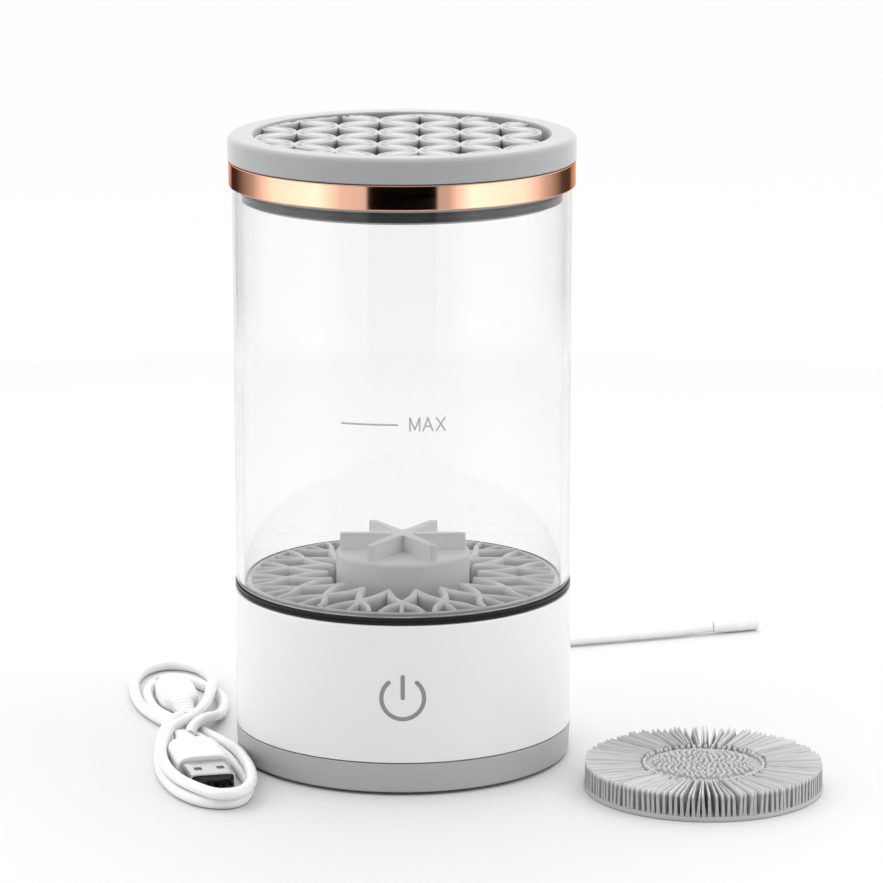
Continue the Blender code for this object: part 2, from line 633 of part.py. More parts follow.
def loop_band(loop, bottom, top):
    """Return one loop of the hank as a drop-shaped band standing on the ground."""
    (start_x, start_y), length, half_width, heading = loop
    turn = math.radians(heading)
    inner_start = (start_x + LOOP_THROAT * math.cos(turn), start_y + LOOP_THROAT * math.sin(turn))
    inner_length = length - LOOP_THROAT - LOOP_WALL
    outer = teardrop((start_x, start_y), length, half_width, heading)
    inner = teardrop(inner_start, inner_length, half_width - LOOP_WALL - 0.6, heading)
    bm = bmesh.new()
    rings = []
    for outline, z in ((outer, bottom), (outer, top), (inner, top), (inner, bottom)):
        rings.append([bm.verts.new((x * MM, y * MM, z * MM)) for x, y in outline])
    for near, far in zip(rings, rings[1:] + rings[:1]):
        for index in range(len(near)):
            following = (index + 1) % len(near)
            bm.faces.new((near[index], near[following], far[following], far[index]))
    return bm


def make_lead(white, steel, black):
    """Loose charging lead: the hank, a USB-A plug and a micro plug lying inside its two loops."""
    hank = add_object("lead_hank", loop_band(LOOPS[0], 0.1, LEAD_TOP), white)
    second = cutter("second_loop", loop_band(LOOPS[1], 0.1, LEAD_TOP - 0.02))
    boolean(hank, second, "UNION")

    place, turn = (*USB_REAR, 0), math.radians(USB_AIM)
    body = loft(((-14.0, 1.7, 1.2, 4.6), (-8.0, 1.8, 1.2, 4.8), (-7.0, 2.5, 0.8, 5.6), (-1, 3.2, 0.6, 6.2),
                 (1.0, 5.4, 0.4, 7.4), (3.5, 6.5, 0.2, 7.8), (20, 7.2, 0.2, 7.8)))
    shell = loft(((20.3, 6.0, 1.7, 6.2), (32.3, 6.0, 1.7, 6.2)))
    mouth = loft(((23.0, 5.55, 2.15, 5.75), (34.0, 5.55, 2.15, 5.75)))
    tongue = loft(((23.3, 5.1, 3.9, 5.4), (31.6, 5.1, 3.9, 5.4)))
    pieces = [add_object("usb_plug_body", body, white, place)]
    pieces.append(add_object("usb_plug_shell", shell, steel, place))
    opening = cutter("usb_mouth", mouth, place)
    boolean(pieces[-1], opening)
    pieces.append(add_object("usb_plug_tongue", tongue, black, place))
    for piece in (*pieces, opening):
        piece.rotation_euler.z = turn

    place, turn = (*MICRO_REAR, 0), math.radians(MICRO_AIM)
    body = loft(((-13.4, 1.7, 1.2, 4.6), (-10, 1.8, 1.2, 4.8), (-9, 2.6, 0.8, 5.6), (-1, 3.1, 0.8, 6.0),
                 (1.5, 5.0, 0.4, 7.2), (12, 5.5, 0.4, 7.2), (19, 4.2, 0.8, 6.6)))
    shell = loft(((19.3, 3.45, 2.8, 4.7), (24.6, 3.45, 2.8, 4.7)))
    pieces = [add_object("micro_plug_body", body, white, place)]
    pieces.append(add_object("micro_plug_shell", shell, steel, place))
    for piece in pieces:
        piece.rotation_euler.z = turn


def make_spare_mat(silicone):
    """Spare bristle mat: a thin disc with a deep outer bristle ring and a lower nub field."""
    profile = ((0, 0.1), (SPARE_R, 0.1), (SPARE_R, SPARE_BASE), (SPARE_R - 0.9, SPARE_BASE + 0.1),
               (SPARE_R - 0.9, SPARE_TOP), (NUB_DISC_R + 2, SPARE_TOP), (NUB_DISC_R + 2, 4.6),
               (NUB_DISC_R, 4.6), (NUB_DISC_R, 7.0), (0, 7.0))
    add_object("spare_mat", revolve(profile, 36), silicone, (*SPARE_CENTRE, 0))


def main():
    """Clear the scene and build every piece."""
    for old in list(bpy.data.objects):
        bpy.data.objects.remove(old, do_unlink=True)
    white = material("gloss_white", (0.83, 0.83, 0.83), 0.22)
    grey = material("matte_grey", (0.38, 0.38, 0.39), 0.5)
    silicone = material("silicone_grey", (0.55, 0.56, 0.57), 0.6)
    lid_grey = material("lid_silicone_grey", (0.42, 0.43, 0.44), 0.6)
    rubber = material("black_rubber", (0.02, 0.02, 0.02), 0.4)
    dark = material("dark_plastic", (0.06, 0.06, 0.065), 0.45)
    clear = material("clear_plastic", (0.98, 0.98, 0.98), 0.03, transmission=1.0)
    frost = material("frosted_plastic", (0.8, 0.8, 0.8), 0.35)
    gold = material("rose_gold", (0.86, 0.5, 0.36), 0.12, metallic=1.0)
    steel = material("steel", (0.6, 0.6, 0.6), 0.3, metallic=1.0)
    brass = material("brass", (0.72, 0.52, 0.2), 0.3, metallic=1.0)
    copper = material("copper", (0.72, 0.35, 0.2), 0.35, metallic=1.0)
    nylon = material("nylon", (0.8, 0.78, 0.72), 0.45)
    board_green = material("board_green", (0.03, 0.2, 0.08), 0.4)
    magnet_grey = material("magnet_grey", (0.12, 0.12, 0.13), 0.5)
    cord_white = material("cord_white", (0.8, 0.8, 0.8), 0.42)

    make_foot(grey, rubber, steel)
    make_shell(white)
    make_deck(white, rubber)
    make_electronics(board_green, dark, copper, steel)
    make_gearbox(dark, brass, steel)
    make_gears(nylon, brass, steel)
    make_motor(steel, dark, copper, magnet_grey)
    make_spinner(dark, silicone)
    make_scrub_mat(silicone)
    make_cup(clear)
    make_lid(lid_grey, gold, frost, rubber)
    make_cord(cord_white, steel)
    make_lead(cord_white, steel, dark)
    make_spare_mat(silicone)


main()
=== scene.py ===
"""Looks of an electric makeup brush cleaner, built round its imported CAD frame.

Lengths are in millimetres and MM turns them into Blender's metres. +Z is up, the spin axis is the
Z axis, the power mark faces -Y and the supply cord leaves the rear, towards +Y.
"""
import json
import math
import random

import bmesh
import bpy
from mathutils import Matrix, Vector
from mathutils.geometry import interpolate_bezier


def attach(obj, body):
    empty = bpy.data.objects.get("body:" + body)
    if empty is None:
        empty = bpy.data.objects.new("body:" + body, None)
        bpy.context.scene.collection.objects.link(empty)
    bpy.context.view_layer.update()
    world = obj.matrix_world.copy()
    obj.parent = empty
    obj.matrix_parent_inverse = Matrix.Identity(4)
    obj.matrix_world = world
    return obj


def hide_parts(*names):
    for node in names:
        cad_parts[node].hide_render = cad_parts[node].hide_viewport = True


MM = 0.001
AROUND, FINE_AROUND = 192, 256  # facets round the large turned pieces, and round the cup and lid
HOLD = 0.02                    # a narrow strip beside each rounded edge keeps flat faces flat

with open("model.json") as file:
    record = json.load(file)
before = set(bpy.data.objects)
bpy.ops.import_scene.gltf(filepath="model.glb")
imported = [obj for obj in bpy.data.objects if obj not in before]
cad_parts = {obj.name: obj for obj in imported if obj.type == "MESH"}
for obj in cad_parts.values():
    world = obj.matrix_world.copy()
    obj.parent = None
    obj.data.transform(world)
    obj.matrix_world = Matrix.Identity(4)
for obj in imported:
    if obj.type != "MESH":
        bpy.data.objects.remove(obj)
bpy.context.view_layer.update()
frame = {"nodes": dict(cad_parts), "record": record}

# Camera: a long lens that looks a little down on the front
LENS = 175.2
CAMERA_PLACE = (10.42, -1125.8, 334.8)
CAMERA_PITCH = 12.493

# Body of the cleaner
SHELL_R, SHELL_BOTTOM, SHELL_TOP = 45.4, 9.1, 46.2
SHELL_TAPER, TAPER_BOTTOM = 0.08, 18.0
LEDGE_R, LEDGE_Z, COLLAR_R = 42.7, 37.5, 44.1
FOOT_BORE, FOOT_SOLE_R, FOOT_R, FOOT_BOTTOM, FOOT_TOP = 41.6, 44.95, 45.35, 0.9, 8.8
SEAM_R, SEAM_BOTTOM, SEAM_TOP = 45.2, 46.3, 48.15
SEAM_GROOVE_Z, SEAM_GROOVE = 47.25, 0.2
CUP_R, CUP_BORE, CUP_BOTTOM, CUP_TOP = 45.0, 42.8, 48.35, 158.9
TONGUE_R, TONGUE_BOTTOM = 43.8, 41.3
OUTLET_Z, OUTLET_R, OUTLET_START, OUTLET_END = 13.0, 2.7, 38, 48
POWER_X, POWER_Z, POWER_R, POWER_HALF = 0.3, 26.7, 5.6, 0.57
POWER_GAP = 41.0               # degrees from the top of the ring to each end of it
LEVEL_X, LEVEL_LENGTH, LEVEL_Z, LEVEL_HALF = -15.6, 14.6, 99.65, 0.24
WORD_X, WORD_Z, LETTER_HEIGHT, LETTER_HALF = 2.3, 98.05, 3.4, 0.21
PRINT_GAP = 0.01               # between the cup and the print on it

# Lid: petals on a square grid, turned by 45 and 135 degrees in turn, leave star-shaped holes
LID_R, LID_EDGE_R, LID_BOTTOM, LID_TOP = 46.15, 44.6, 162.3, 168.9
FIELD_R, FIELD_TOP = 39.4, 168.25
CELL = 15.32                   # from one end of a petal to the other
PITCH = CELL / math.sqrt(2)
PETAL_R = PITCH + 0.25         # radius of the two arcs that bound a petal
PETAL_SPREAD = 0.5             # how much wider that radius is at the petal's foot
PETAL_EDGE, GROOVE_START, GROOVE_END = 0.4, 0.75, 1.95     # distances in from a petal's edge
GROOVE_DEPTH = 1.15
LATTICE_SHIFT = (-0.9, 1.4)
LATTICE_R = FIELD_R + 3        # petals that reach further are pulled in to here, inside the rim
BAND_BORE, BAND_R, BAND_BOTTOM, BAND_TOP = 45.35, 46.0, 155.5, 162.0
PLUG_BORE, PLUG_BOTTOM, SKIRT_R, SEAT_R, SEAT_BOTTOM = 39.9, 151.2, 41.0, 42.5, 154.6
FLANGE_R, FLANGE_BOTTOM = 45.05, 159.2
SEAL_BORE, SEAL_R, SEAL_Z = 41.3, 42.2, 153.1

# Scrub mat and hub
MAT_FOLDS = 18
MAT_BOTTOM, MAT_R, TIP_R, NODE_R = 43.7, 42.1, 20.4, 31.5
TIP_Z, NODE_Z, EDGE_Z, RIM_Z = 49.9, 49.6, 49.3, 49.0
RIM_WIDTH = 1.3
RIB_END_R = MAT_R - 0.5
RIB_BOW, RIB_HALF, RIB_SWELL = 0.8, 0.7, 0.45
RIB_SECTION = (                # side offset and height, as shares of a rib's own
    (-1.25, 0.0), (-1.0, 0.25), (-0.95, 0.8), (-0.72, 0.93), (-0.38, 0.985), (0, 1.0),
    (0.38, 0.985), (0.72, 0.93), (0.95, 0.8), (1.0, 0.25), (1.25, 0.0),
)
HUB_R, HUB_TOP, SHAFT_R, SHAFT_TOP = 18.0, 55.9, 3.1, 52.0
VANES, VANE_TOP, VANE_R, VANE_HALF = 6, 60.4, 16.9, 1.15

# Spare mat
SPARE_CENTRE = (79.6, -36.4)
SPARE_R, SPARE_BASE, SPARE_TOP = 31.6, 1.3, 7.7
CUSHION_R, CUSHION_TOP = 16.0, 5.9
FIN_COUNT, FIN_STATIONS = 128, 6
# Side offset and height, as shares of a fin's or a nub's own
FIN_SECTION = ((-1.35, 0), (-1.0, 0.2), (-0.8, 0.7), (-0.5, 0.97), (0, 1), (0.5, 0.97), (0.8, 0.7),
               (1.0, 0.2), (1.35, 0))
NUB_SECTION = ((0.95, 0.35), (0.72, 0.75), (0.35, 0.96))
NUB_RING_R, NUB_RING_COUNT, NUB_FIELD_R, NUB_FIELD_COUNT = 15.75, 60, 13.2, 230
GOLDEN_ANGLE = 137.50776

# Supply cord, with the same route as its CAD solid
CORD_R = 1.6
CORD_ROUTE = (
    (0.0, 58.0, 12.5), (0.3, 64.0, 11.0), (2.0, 71.5, 7.8), (5.6, 79.0, 4.8), (11.6, 86.4, 2.9),
    (19.8, 92.6, 2.1), (29.4, 97.8, 1.9), (39.6, 101.8, 1.9), (50.4, 105.2, 1.9), (61.4, 108.6, 1.9),
    (72.4, 112.2, 1.9), (82.6, 115.8, 2.0), (91.2, 118.8, 2.25),
)
RELIEF_START, RELIEF_END, RELIEF_R, RELIEF_RIBS, RELIEF_PITCH = 45.9, 57.5, 3.2, 5, 1.9
SOCKET_R, SOCKET_BORE, SOCKET_LENGTH, SOCKET_DEPTH = 2.1, 1.2, 14.5, 7.5
SOCKET_GAP, PIN_R = 0.3, 0.5

# Charging lead: two figure-of-eight turns from the micro plug to the USB plug
LEAD_R = 1.5
LOW, HIGH = 1.62, 4.72         # heights of a strand on the ground and of one that lies on another
LEAD_ROUTE = (
    (-61.5, 17.6, 3.4), (-62.6, 13.6, 4.4), (-63.9, 9.0, HIGH), (-65.4, 2.5, 3.6), (-65.9, -5.0, 2.0),
    (-65.6, -14.0, LOW), (-64.6, -25.0, LOW), (-62.4, -36.0, LOW), (-58.6, -46.0, LOW), (-53.4, -53.2, LOW),
    (-47.6, -56.4, LOW), (-42.6, -54.6, LOW), (-40.4, -47.0, LOW), (-41.0, -36.0, LOW),
    (-43.8, -25.0, LOW), (-47.6, -14.0, LOW), (-52.0, -4.0, LOW), (-57.4, 6.0, LOW), (-63.2, 15.0, LOW),
    (-68.4, 23.0, LOW), (-72.6, 32.0, LOW), (-75.4, 42.0, LOW), (-77.0, 53.0, LOW), (-77.2, 63.0, LOW),
    (-75.4, 71.6, LOW), (-71.2, 77.2, LOW), (-65.6, 78.0, LOW), (-60.2, 74.4, LOW), (-56.8, 67.4, LOW),
    (-55.0, 58.6, 2.4), (-54.3, 50.0, 4.5), (-54.6, 40.0, HIGH), (-55.0, 30.0, HIGH), (-56.4, 20.0, HIGH),
    (-59.9, 10.4, HIGH), (-63.2, 1.6, 5.0), (-64.4, -8.0, HIGH), (-64.6, -20.0, HIGH), (-62.6, -33.0, HIGH),
    (-58.8, -44.0, HIGH), (-53.4, -52.6, HIGH), (-47.4, -58.2, HIGH), (-41.9, -56.4, HIGH),
    (-39.4, -47.6, HIGH), (-40.2, -36.0, HIGH), (-42.4, -25.0, 4.5), (-44.6, -14.0, 3.3),
    (-48.0, -3.0, 1.9), (-53.6, 7.0, LOW), (-59.6, 15.8, LOW), (-64.8, 22.6, LOW), (-69.0, 30.0, LOW),
    (-71.6, 39.0, LOW), (-72.8, 49.0, LOW), (-71.6, 58.0, LOW), (-67.4, 63.4, LOW), (-61.8, 61.4, LOW),
    (-56.8, 55.0, LOW), (-52.8, 47.4, LOW), (-50.9, 38.6, LOW), (-50.9, 29.6, LOW), (-52.0, 20.6, 3.0),
    (-55.3, 11.6, 4.6), (-57.7, 5.0, 4.2), (-58.2, 0.6, 3.3),
)
USB_REAR, USB_AIM = (-57.3, -13.6), -166.0
MICRO_REAR, MICRO_AIM = (-62.3, 31.0), 12.5

# Stage, in metres: brightness of the sky in front, at the sides and overhead, and of the side cards
FRONT_SKY, SIDE_SKY, TOP_SKY, SIDE_CARD = 0.05, 1.12, 0.78, 2.2
FLOOR_ALBEDO, FLOOR_HALF, CARD_HEIGHT = 0.675, 9, 0.5
REFLECTOR_R, REFLECTOR_HEIGHTS = 0.55, (0, 0.03, 0.16)
REFLECTOR = (                  # degrees from the front, towards +X, and brightness there
    (-180, 0.95), (-155, 0.95), (-148, 0.05), (-136, 0.08), (-112, 0.6), (-92, 1.7), (-55, 2.1), (-38, 1.05),
    (-22, 0.95), (-21.7, 0.0), (22.6, 0.0), (22.8, 0.72), (30, 0.75), (45, 2.1), (84, 1.8), (104, 0.85),
    (128, 0.12), (142, 0.1), (152, 0.9), (180, 0.95),
)

rng = random.Random(7)


# ---- objects and camera

def placed(name, data):
    """Add an object to the scene."""
    made = bpy.data.objects.new(name, data)
    bpy.context.collection.objects.link(made)
    return made


def attached(made, body, replaces):
    """Let a piece ride on a body and stand for the CAD nodes, which it hides."""
    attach(made, body)
    if replaces:
        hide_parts(*replaces)
    return made


def add_camera():
    """Camera at the front, a little above the lid and looking down."""
    data = bpy.data.cameras.new("camera")
    data.lens = LENS
    data.clip_end = 20
    made = placed("camera", data)
    made.location = Vector(CAMERA_PLACE) * MM
    made.rotation_euler = (math.radians(90 - CAMERA_PITCH), 0, 0)
    bpy.context.scene.camera = made


# ---- materials

def node_material(name):
    """Return a new material, its tree, its Principled shader and object coordinates."""
    made = bpy.data.materials.new(name)
    made.use_nodes = True
    tree = made.node_tree
    shader = tree.nodes["Principled BSDF"]
    coords = tree.nodes.new("ShaderNodeTexCoord")
    return made, tree, shader, coords.outputs["Object"]


def noise(tree, vector, scale, detail=3.0, stretch=None):
    """Return the factor of a noise texture; stretch scales each axis first."""
    if stretch:
        mapping = tree.nodes.new("ShaderNodeMapping")
        mapping.inputs["Scale"].default_value = stretch
        tree.links.new(vector, mapping.inputs["Vector"])
        vector = mapping.outputs["Vector"]
    texture = tree.nodes.new("ShaderNodeTexNoise")
    texture.inputs["Scale"].default_value = scale
    texture.inputs["Detail"].default_value = detail
    tree.links.new(vector, texture.inputs["Vector"])
    return texture.outputs["Fac"]


def ranged(tree, value, low, high, start=0.3, end=0.7, soft=False):
    """Map start to end, which suit a noise factor, to the range low to high."""
    made = tree.nodes.new("ShaderNodeMapRange")
    if soft:
        made.interpolation_type = "SMOOTHSTEP"
    for socket, number in (("From Min", start), ("From Max", end), ("To Min", low), ("To Max", high)):
        made.inputs[socket].default_value = number
    tree.links.new(value, made.inputs["Value"])
    return made.outputs["Result"]


def one_axis(tree, vector, axis):
    """Return one coordinate of a vector."""
    split = tree.nodes.new("ShaderNodeSeparateXYZ")
    tree.links.new(vector, split.inputs["Vector"])
    return split.outputs[axis]


def paint_shade_by_height(tree, coords, colour_socket, painted_shade_levels):
    """Paint shade by height: multiply a colour by a share that depends on the height of the point."""
    bottom, top = painted_shade_levels[0][0], painted_shade_levels[-1][0]
    shares = tree.nodes.new("ShaderNodeValToRGB")
    stops = shares.color_ramp.elements
    while len(stops) < len(painted_shade_levels):
        stops.new(0.5)
    for stop, (height, share) in zip(stops, painted_shade_levels):
        stop.position = (height - bottom) / (top - bottom)
        stop.color = (share, share, share, 1)
    level = ranged(tree, one_axis(tree, coords, "Z"), 0, 1, bottom * MM, top * MM)
    tree.links.new(level, shares.inputs["Fac"])
    product = tree.nodes.new("ShaderNodeMix")
    product.data_type = "RGBA"
    product.blend_type = "MULTIPLY"
    product.inputs[0].default_value = 1
    tree.links.new(colour_socket, product.inputs[6])
    tree.links.new(shares.outputs["Color"], product.inputs[7])
    return product.outputs[2]


def surface(name, colour, roughness, metallic=0.0, tint=0.04, patch=60, grain=1500, bump=0.08,
            roughness_spread=0.05, stretch=None, painted_shade_levels=None, **sockets):
    """Return a procedural material: uneven colour and roughness over fine surface relief.

    The optional (height in mm, share of the colour) pairs paint shade into the surface's hollows, darker
    lower down.
    """
    made, tree, shader, coords = node_material(name)
    blotch = noise(tree, coords, patch, stretch=stretch)
    mix = tree.nodes.new("ShaderNodeMix")
    mix.data_type = "RGBA"
    mix.inputs[6].default_value = (*[channel * (1 - tint) for channel in colour], 1)
    mix.inputs[7].default_value = (*[min(1, channel * (1 + tint)) for channel in colour], 1)
    tree.links.new(blotch, mix.inputs[0])
    tint_socket = mix.outputs[2]
    # Painted shade: the colour is darkened lower down, where the hollows lie.
    if painted_shade_levels:
        tint_socket = paint_shade_by_height(tree, coords, tint_socket, painted_shade_levels)
    tree.links.new(tint_socket, shader.inputs["Base Color"])
    uneven = noise(tree, coords, patch * 2.7, stretch=stretch)
    rough = ranged(tree, uneven, max(0, roughness - roughness_spread), roughness + roughness_spread)
    tree.links.new(rough, shader.inputs["Roughness"])
    relief = tree.nodes.new("ShaderNodeBump")
    relief.inputs["Strength"].default_value = bump
    relief.inputs["Distance"].default_value = 0.0001
    tree.links.new(noise(tree, coords, grain, 4.0, stretch), relief.inputs["Height"])
    tree.links.new(relief.outputs["Normal"], shader.inputs["Normal"])
    shader.inputs["Metallic"].default_value = metallic
    for socket, value in sockets.items():
        shader.inputs[socket.replace("_", " ")].default_value = value
    made.diffuse_color = (*colour, 1)
    return made


def silicone(name, colour, roughness, tint, sheen=0.0, soft=0.5, bump=0.1, painted_shade_levels=None):
    """Return a moulded silicone: a fine matt grain under a sheen of roughness soft."""
    return surface(name, colour, roughness, tint=tint, grain=2200, bump=bump, painted_shade_levels=painted_shade_levels,
                   Sheen_Weight=sheen, Sheen_Roughness=soft)


MATERIALS = {
    "white_shell": surface("gloss_white_shell", (0.78, 0.78, 0.78), 0.24, tint=0.01, patch=25, grain=300,
                           bump=0.015, roughness_spread=0.03),
    "white_inner": surface("satin_white", (0.8, 0.8, 0.79), 0.42, tint=0.02, bump=0.06),
    "grey_foot": surface("satin_grey_foot", (0.4, 0.4, 0.4), 0.42, tint=0.03, grain=2600, bump=0.12),
    "lid_silicone": silicone("lid_silicone", (0.33, 0.335, 0.34), 0.62, 0.025, 0.9, 0.4),
    "mat_silicone": silicone("mat_silicone", (0.62, 0.622, 0.625), 0.58, 0.03, 0.12),
    "black_rubber": surface("black_rubber", (0.008, 0.008, 0.009), 0.22, tint=0.2, grain=1800, bump=0.05,
                            Specular_IOR_Level=0.2),
    "dark_plastic": surface("dark_plastic", (0.03, 0.03, 0.032), 0.45, tint=0.15, grain=2400, bump=0.15),
    "frosted_plastic": surface("frosted_plastic", (0.75, 0.76, 0.77), 0.4, tint=0.02, bump=0.08),
    "rose_gold": surface("rose_gold", (0.83, 0.47, 0.33), 0.085, metallic=1.0, tint=0.03, patch=30,
                         grain=900, bump=0.012, roughness_spread=0.02, stretch=(1, 1, 14),
                         Specular_Tint=(0.8, 0.45, 0.32, 1)),
    "steel": surface("plated_steel", (0.62, 0.62, 0.6), 0.27, metallic=1.0, tint=0.06, grain=1200,
                     bump=0.06, stretch=(1, 1, 6)),
    "brass": surface("turned_brass", (0.72, 0.5, 0.2), 0.28, metallic=1.0, tint=0.08, grain=1200, bump=0.05),
    "copper": surface("copper_windings", (0.7, 0.32, 0.17), 0.35, metallic=1.0, tint=0.15, grain=900,
                      bump=0.5, stretch=(1, 1, 8)),
    "nylon": surface("natural_nylon", (0.78, 0.76, 0.7), 0.42, tint=0.04, bump=0.06),
    "board_green": surface("board_green", (0.02, 0.14, 0.05), 0.35, tint=0.25, patch=300, grain=700,
                           bump=0.2),
    "magnet_grey": surface("magnet_grey", (0.09, 0.09, 0.095), 0.55, tint=0.2, grain=1800, bump=0.3),
    "cord_white": surface("soft_white_pvc", (0.82, 0.825, 0.83), 0.3, tint=0.015, patch=40, grain=900,
                          bump=0.03, Sheen_Weight=0.05),
}


def clear_plastic():
    """Clear moulded plastic with very slight waviness."""
    made, tree, shader, coords = node_material("clear_cup")
    wave = tree.nodes.new("ShaderNodeBump")
    wave.inputs["Strength"].default_value = 0.012
    wave.inputs["Distance"].default_value = 0.001
    tree.links.new(noise(tree, coords, 22, 1.0, (1, 1, 0.25)), wave.inputs["Height"])
    tree.links.new(wave.outputs["Normal"], shader.inputs["Normal"])
    tree.links.new(ranged(tree, noise(tree, coords, 60), 0.0, 0.012), shader.inputs["Roughness"])
    shader.inputs["Base Color"].default_value = (0.962, 0.965, 0.965, 1)
    shader.inputs["Transmission Weight"].default_value = 1.0
    shader.inputs["IOR"].default_value = 1.46
    made.diffuse_color = (0.9, 0.92, 0.93, 0.25)
    return made


MATERIALS["clear_cup"] = clear_plastic()
# Painted shade by height: near black deep in the star holes and darker in the petals' grooves; a share of
# 1.1 paints a little light on the ridge tops.
LATTICE_SILICONE_PAINTED_SHADE = silicone("lattice_silicone_painted_shade", (0.5, 0.505, 0.51), 0.62, 0.025, 0.3, 0.45,
                            painted_shade_levels=((162.0, 0.02), (164.2, 0.06), (165.6, 0.2), (166.9, 0.5),
                                    (167.8, 0.92), (168.3, 1.1)))
LIGHT_SILICONE = silicone("light_silicone", (0.93, 0.93, 0.932), 0.55, 0.015, 0.1, bump=0.08)
# Painted shade by height: darker low between the mat's ribs; a share of 1.05 paints a little light on the
# rib tops.
RIB_SILICONE_PAINTED_SHADE = silicone("rib_silicone_painted_shade", (0.93, 0.93, 0.932), 0.55, 0.015, 0.15, bump=0.08,
                        painted_shade_levels=((45.4, 0.35), (46.6, 0.5), (48.4, 0.85), (49.3, 1.0), (49.9, 1.05)))
# Painted shade by height: darker low between the spare mat's fins and round its nubs, full colour on the fin
# tops.
SPARE_SILICONE_PAINTED_SHADE = silicone("spare_silicone_painted_shade", (0.66, 0.66, 0.662), 0.58, 0.03,
                          painted_shade_levels=((0, 0.7), (1.3, 0.6), (4.5, 0.66), (5.95, 0.6), (6.7, 0.9), (7.8, 1.0)))
PALE_PRINT = surface("pale_print", (0.42, 0.42, 0.42), 0.5, tint=0.06, patch=400, grain=2500, bump=0.1)
PRINT_GREY = surface("print_grey", (0.25, 0.25, 0.245), 0.5, tint=0.06, patch=400, grain=2500, bump=0.1)


# ---- mesh building

class Shape:
    """Points in millimetres and faces that become one mesh."""

    def __init__(self):
        self.points = []
        self.faces = []

    def add(self, points, faces):
        """Append points and the faces that index them."""
        offset = len(self.points)
        self.points += [tuple(point) for point in points]
        self.faces += [[index + offset for index in face] for face in faces]

    def grid(self, rows, close_rows=False, close_columns=False, ends=False):
        """Join equal rows of points with quads; ends caps the first and last row."""
        wide, tall = len(rows[0]), len(rows)
        faces = []
        for row in range(tall if close_rows else tall - 1):
            for column in range(wide if close_columns else wide - 1):
                right = (column + 1) % wide
                above = (row + 1) % tall
                faces.append((row * wide + column, row * wide + right,
                              above * wide + right, above * wide + column))
        if ends:
            faces.append(tuple(range(wide))[::-1])
            faces.append(tuple(range((tall - 1) * wide, tall * wide)))
        self.add([point for row in rows for point in row], faces)

    def lathe(self, profile, segments=AROUND, centre=(0, 0)):
        """Turn a closed (r, z) profile about a vertical axis; r = 0 ends close on the axis."""
        on_axis = profile[0][0] == 0
        rows = []
        for radius, z in profile:
            radius = max(radius, 1e-4)
            rows.append([(centre[0] + radius * math.cos(math.tau * step / segments),
                          centre[1] + radius * math.sin(math.tau * step / segments), z)
                         for step in range(segments)])
        self.grid(rows, close_rows=not on_axis, close_columns=True)


def piece(name, shape, finish, body, replaces=(), matrix=None, smooth_angle=40, weld=True):
    """Make a mesh object from a shape, give it its material and let it ride on a body."""
    mesh = bpy.data.meshes.new(name)
    mesh.from_pydata([Vector(point) * MM for point in shape.points], [], shape.faces)
    bm = bmesh.new()
    bm.from_mesh(mesh)
    if weld:
        bmesh.ops.remove_doubles(bm, verts=bm.verts, dist=2e-6)
    bmesh.ops.recalc_face_normals(bm, faces=bm.faces)
    bm.to_mesh(mesh)
    bm.free()
    if matrix is not None:
        mesh.transform(matrix)
    mesh.shade_smooth()
    mesh.set_sharp_from_angle(angle=math.radians(smooth_angle))
    mesh.materials.append(finish)
    return attached(placed(name, mesh), body, replaces)


def rounded(profile, radii, steps=5, closed=True):
    """Round the corners of an (r, z) profile; radii holds one radius a corner."""
    count = len(profile)
    points = []
    for index, corner in enumerate(profile):
        radius = radii[index]
        if radius <= 0 or (not closed and index in (0, count - 1)):
            points.append(corner)
            continue
        here = Vector(corner)
        before = (Vector(profile[index - 1]) - here).normalized()
        after = (Vector(profile[(index + 1) % count]) - here).normalized()
        half = before.angle(after) / 2
        reach = radius / math.tan(half)
        start, end = here + before * reach, here + after * reach
        middle = here + (before + after).normalized() * (radius / math.sin(half))
        points.append(tuple(start + before * HOLD))
        for step in range(steps + 1):
            point = start.lerp(end, step / steps) - middle
            points.append(tuple(middle + point.normalized() * radius))
        points.append(tuple(end + after * HOLD))
    return points


def turned(profile, radii=None, segments=AROUND, steps=5, closed=True, centre=(0, 0)):
    """Return the shape of an (r, z) profile, rounded and turned."""
    shape = Shape()
    shape.lathe(rounded(profile, radii, steps, closed) if radii else profile, segments, centre)
    return shape


def on_circle(radius, degrees):
    """Return the XY point at this radius and angle."""
    return radius * math.cos(math.radians(degrees)), radius * math.sin(math.radians(degrees))


def smooth_route(points, per_span):
    """Read points from a smooth curve through a route's own points."""
    knots = [Vector(point) for point in points]
    tangents = []
    for index in range(len(knots)):
        before = knots[max(index - 1, 0)]
        after = knots[min(index + 1, len(knots) - 1)]
        tangents.append((after - before) / (6 if 0 < index < len(knots) - 1 else 3))
    route = [knots[0]]
    for index in range(len(knots) - 1):
        start, end = knots[index], knots[index + 1]
        route += interpolate_bezier(start, start + tangents[index], end - tangents[index + 1], end,
                                    per_span + 1)[1:]
    return route


def tube(name, route, radius, finish, body, replaces):
    """Make a round cord along a route as a bevelled curve."""
    curve = bpy.data.curves.new(name, "CURVE")
    curve.dimensions = "3D"
    curve.bevel_depth = radius * MM
    curve.bevel_resolution = 6
    curve.use_fill_caps = True
    spline = curve.splines.new("POLY")
    spline.points.add(len(route) - 1)
    for point, place in zip(spline.points, route):
        point.co = (*(place * MM), 1.0)
    spline.use_smooth = True
    curve.materials.append(finish)
    return attached(placed(name, curve), body, replaces)


def heading(place, degrees):
    """Return the matrix that moves a shape built along +Y to a place and a heading."""
    return Matrix.Translation(Vector(place) * MM) @ Matrix.Rotation(math.radians(degrees), 4, "Z")


def lying(place, degrees):
    """Return the matrix that lays a shape built along +Z down along a heading."""
    return heading(place, degrees) @ Matrix.Rotation(math.radians(-90), 4, "X")


# ---- cords

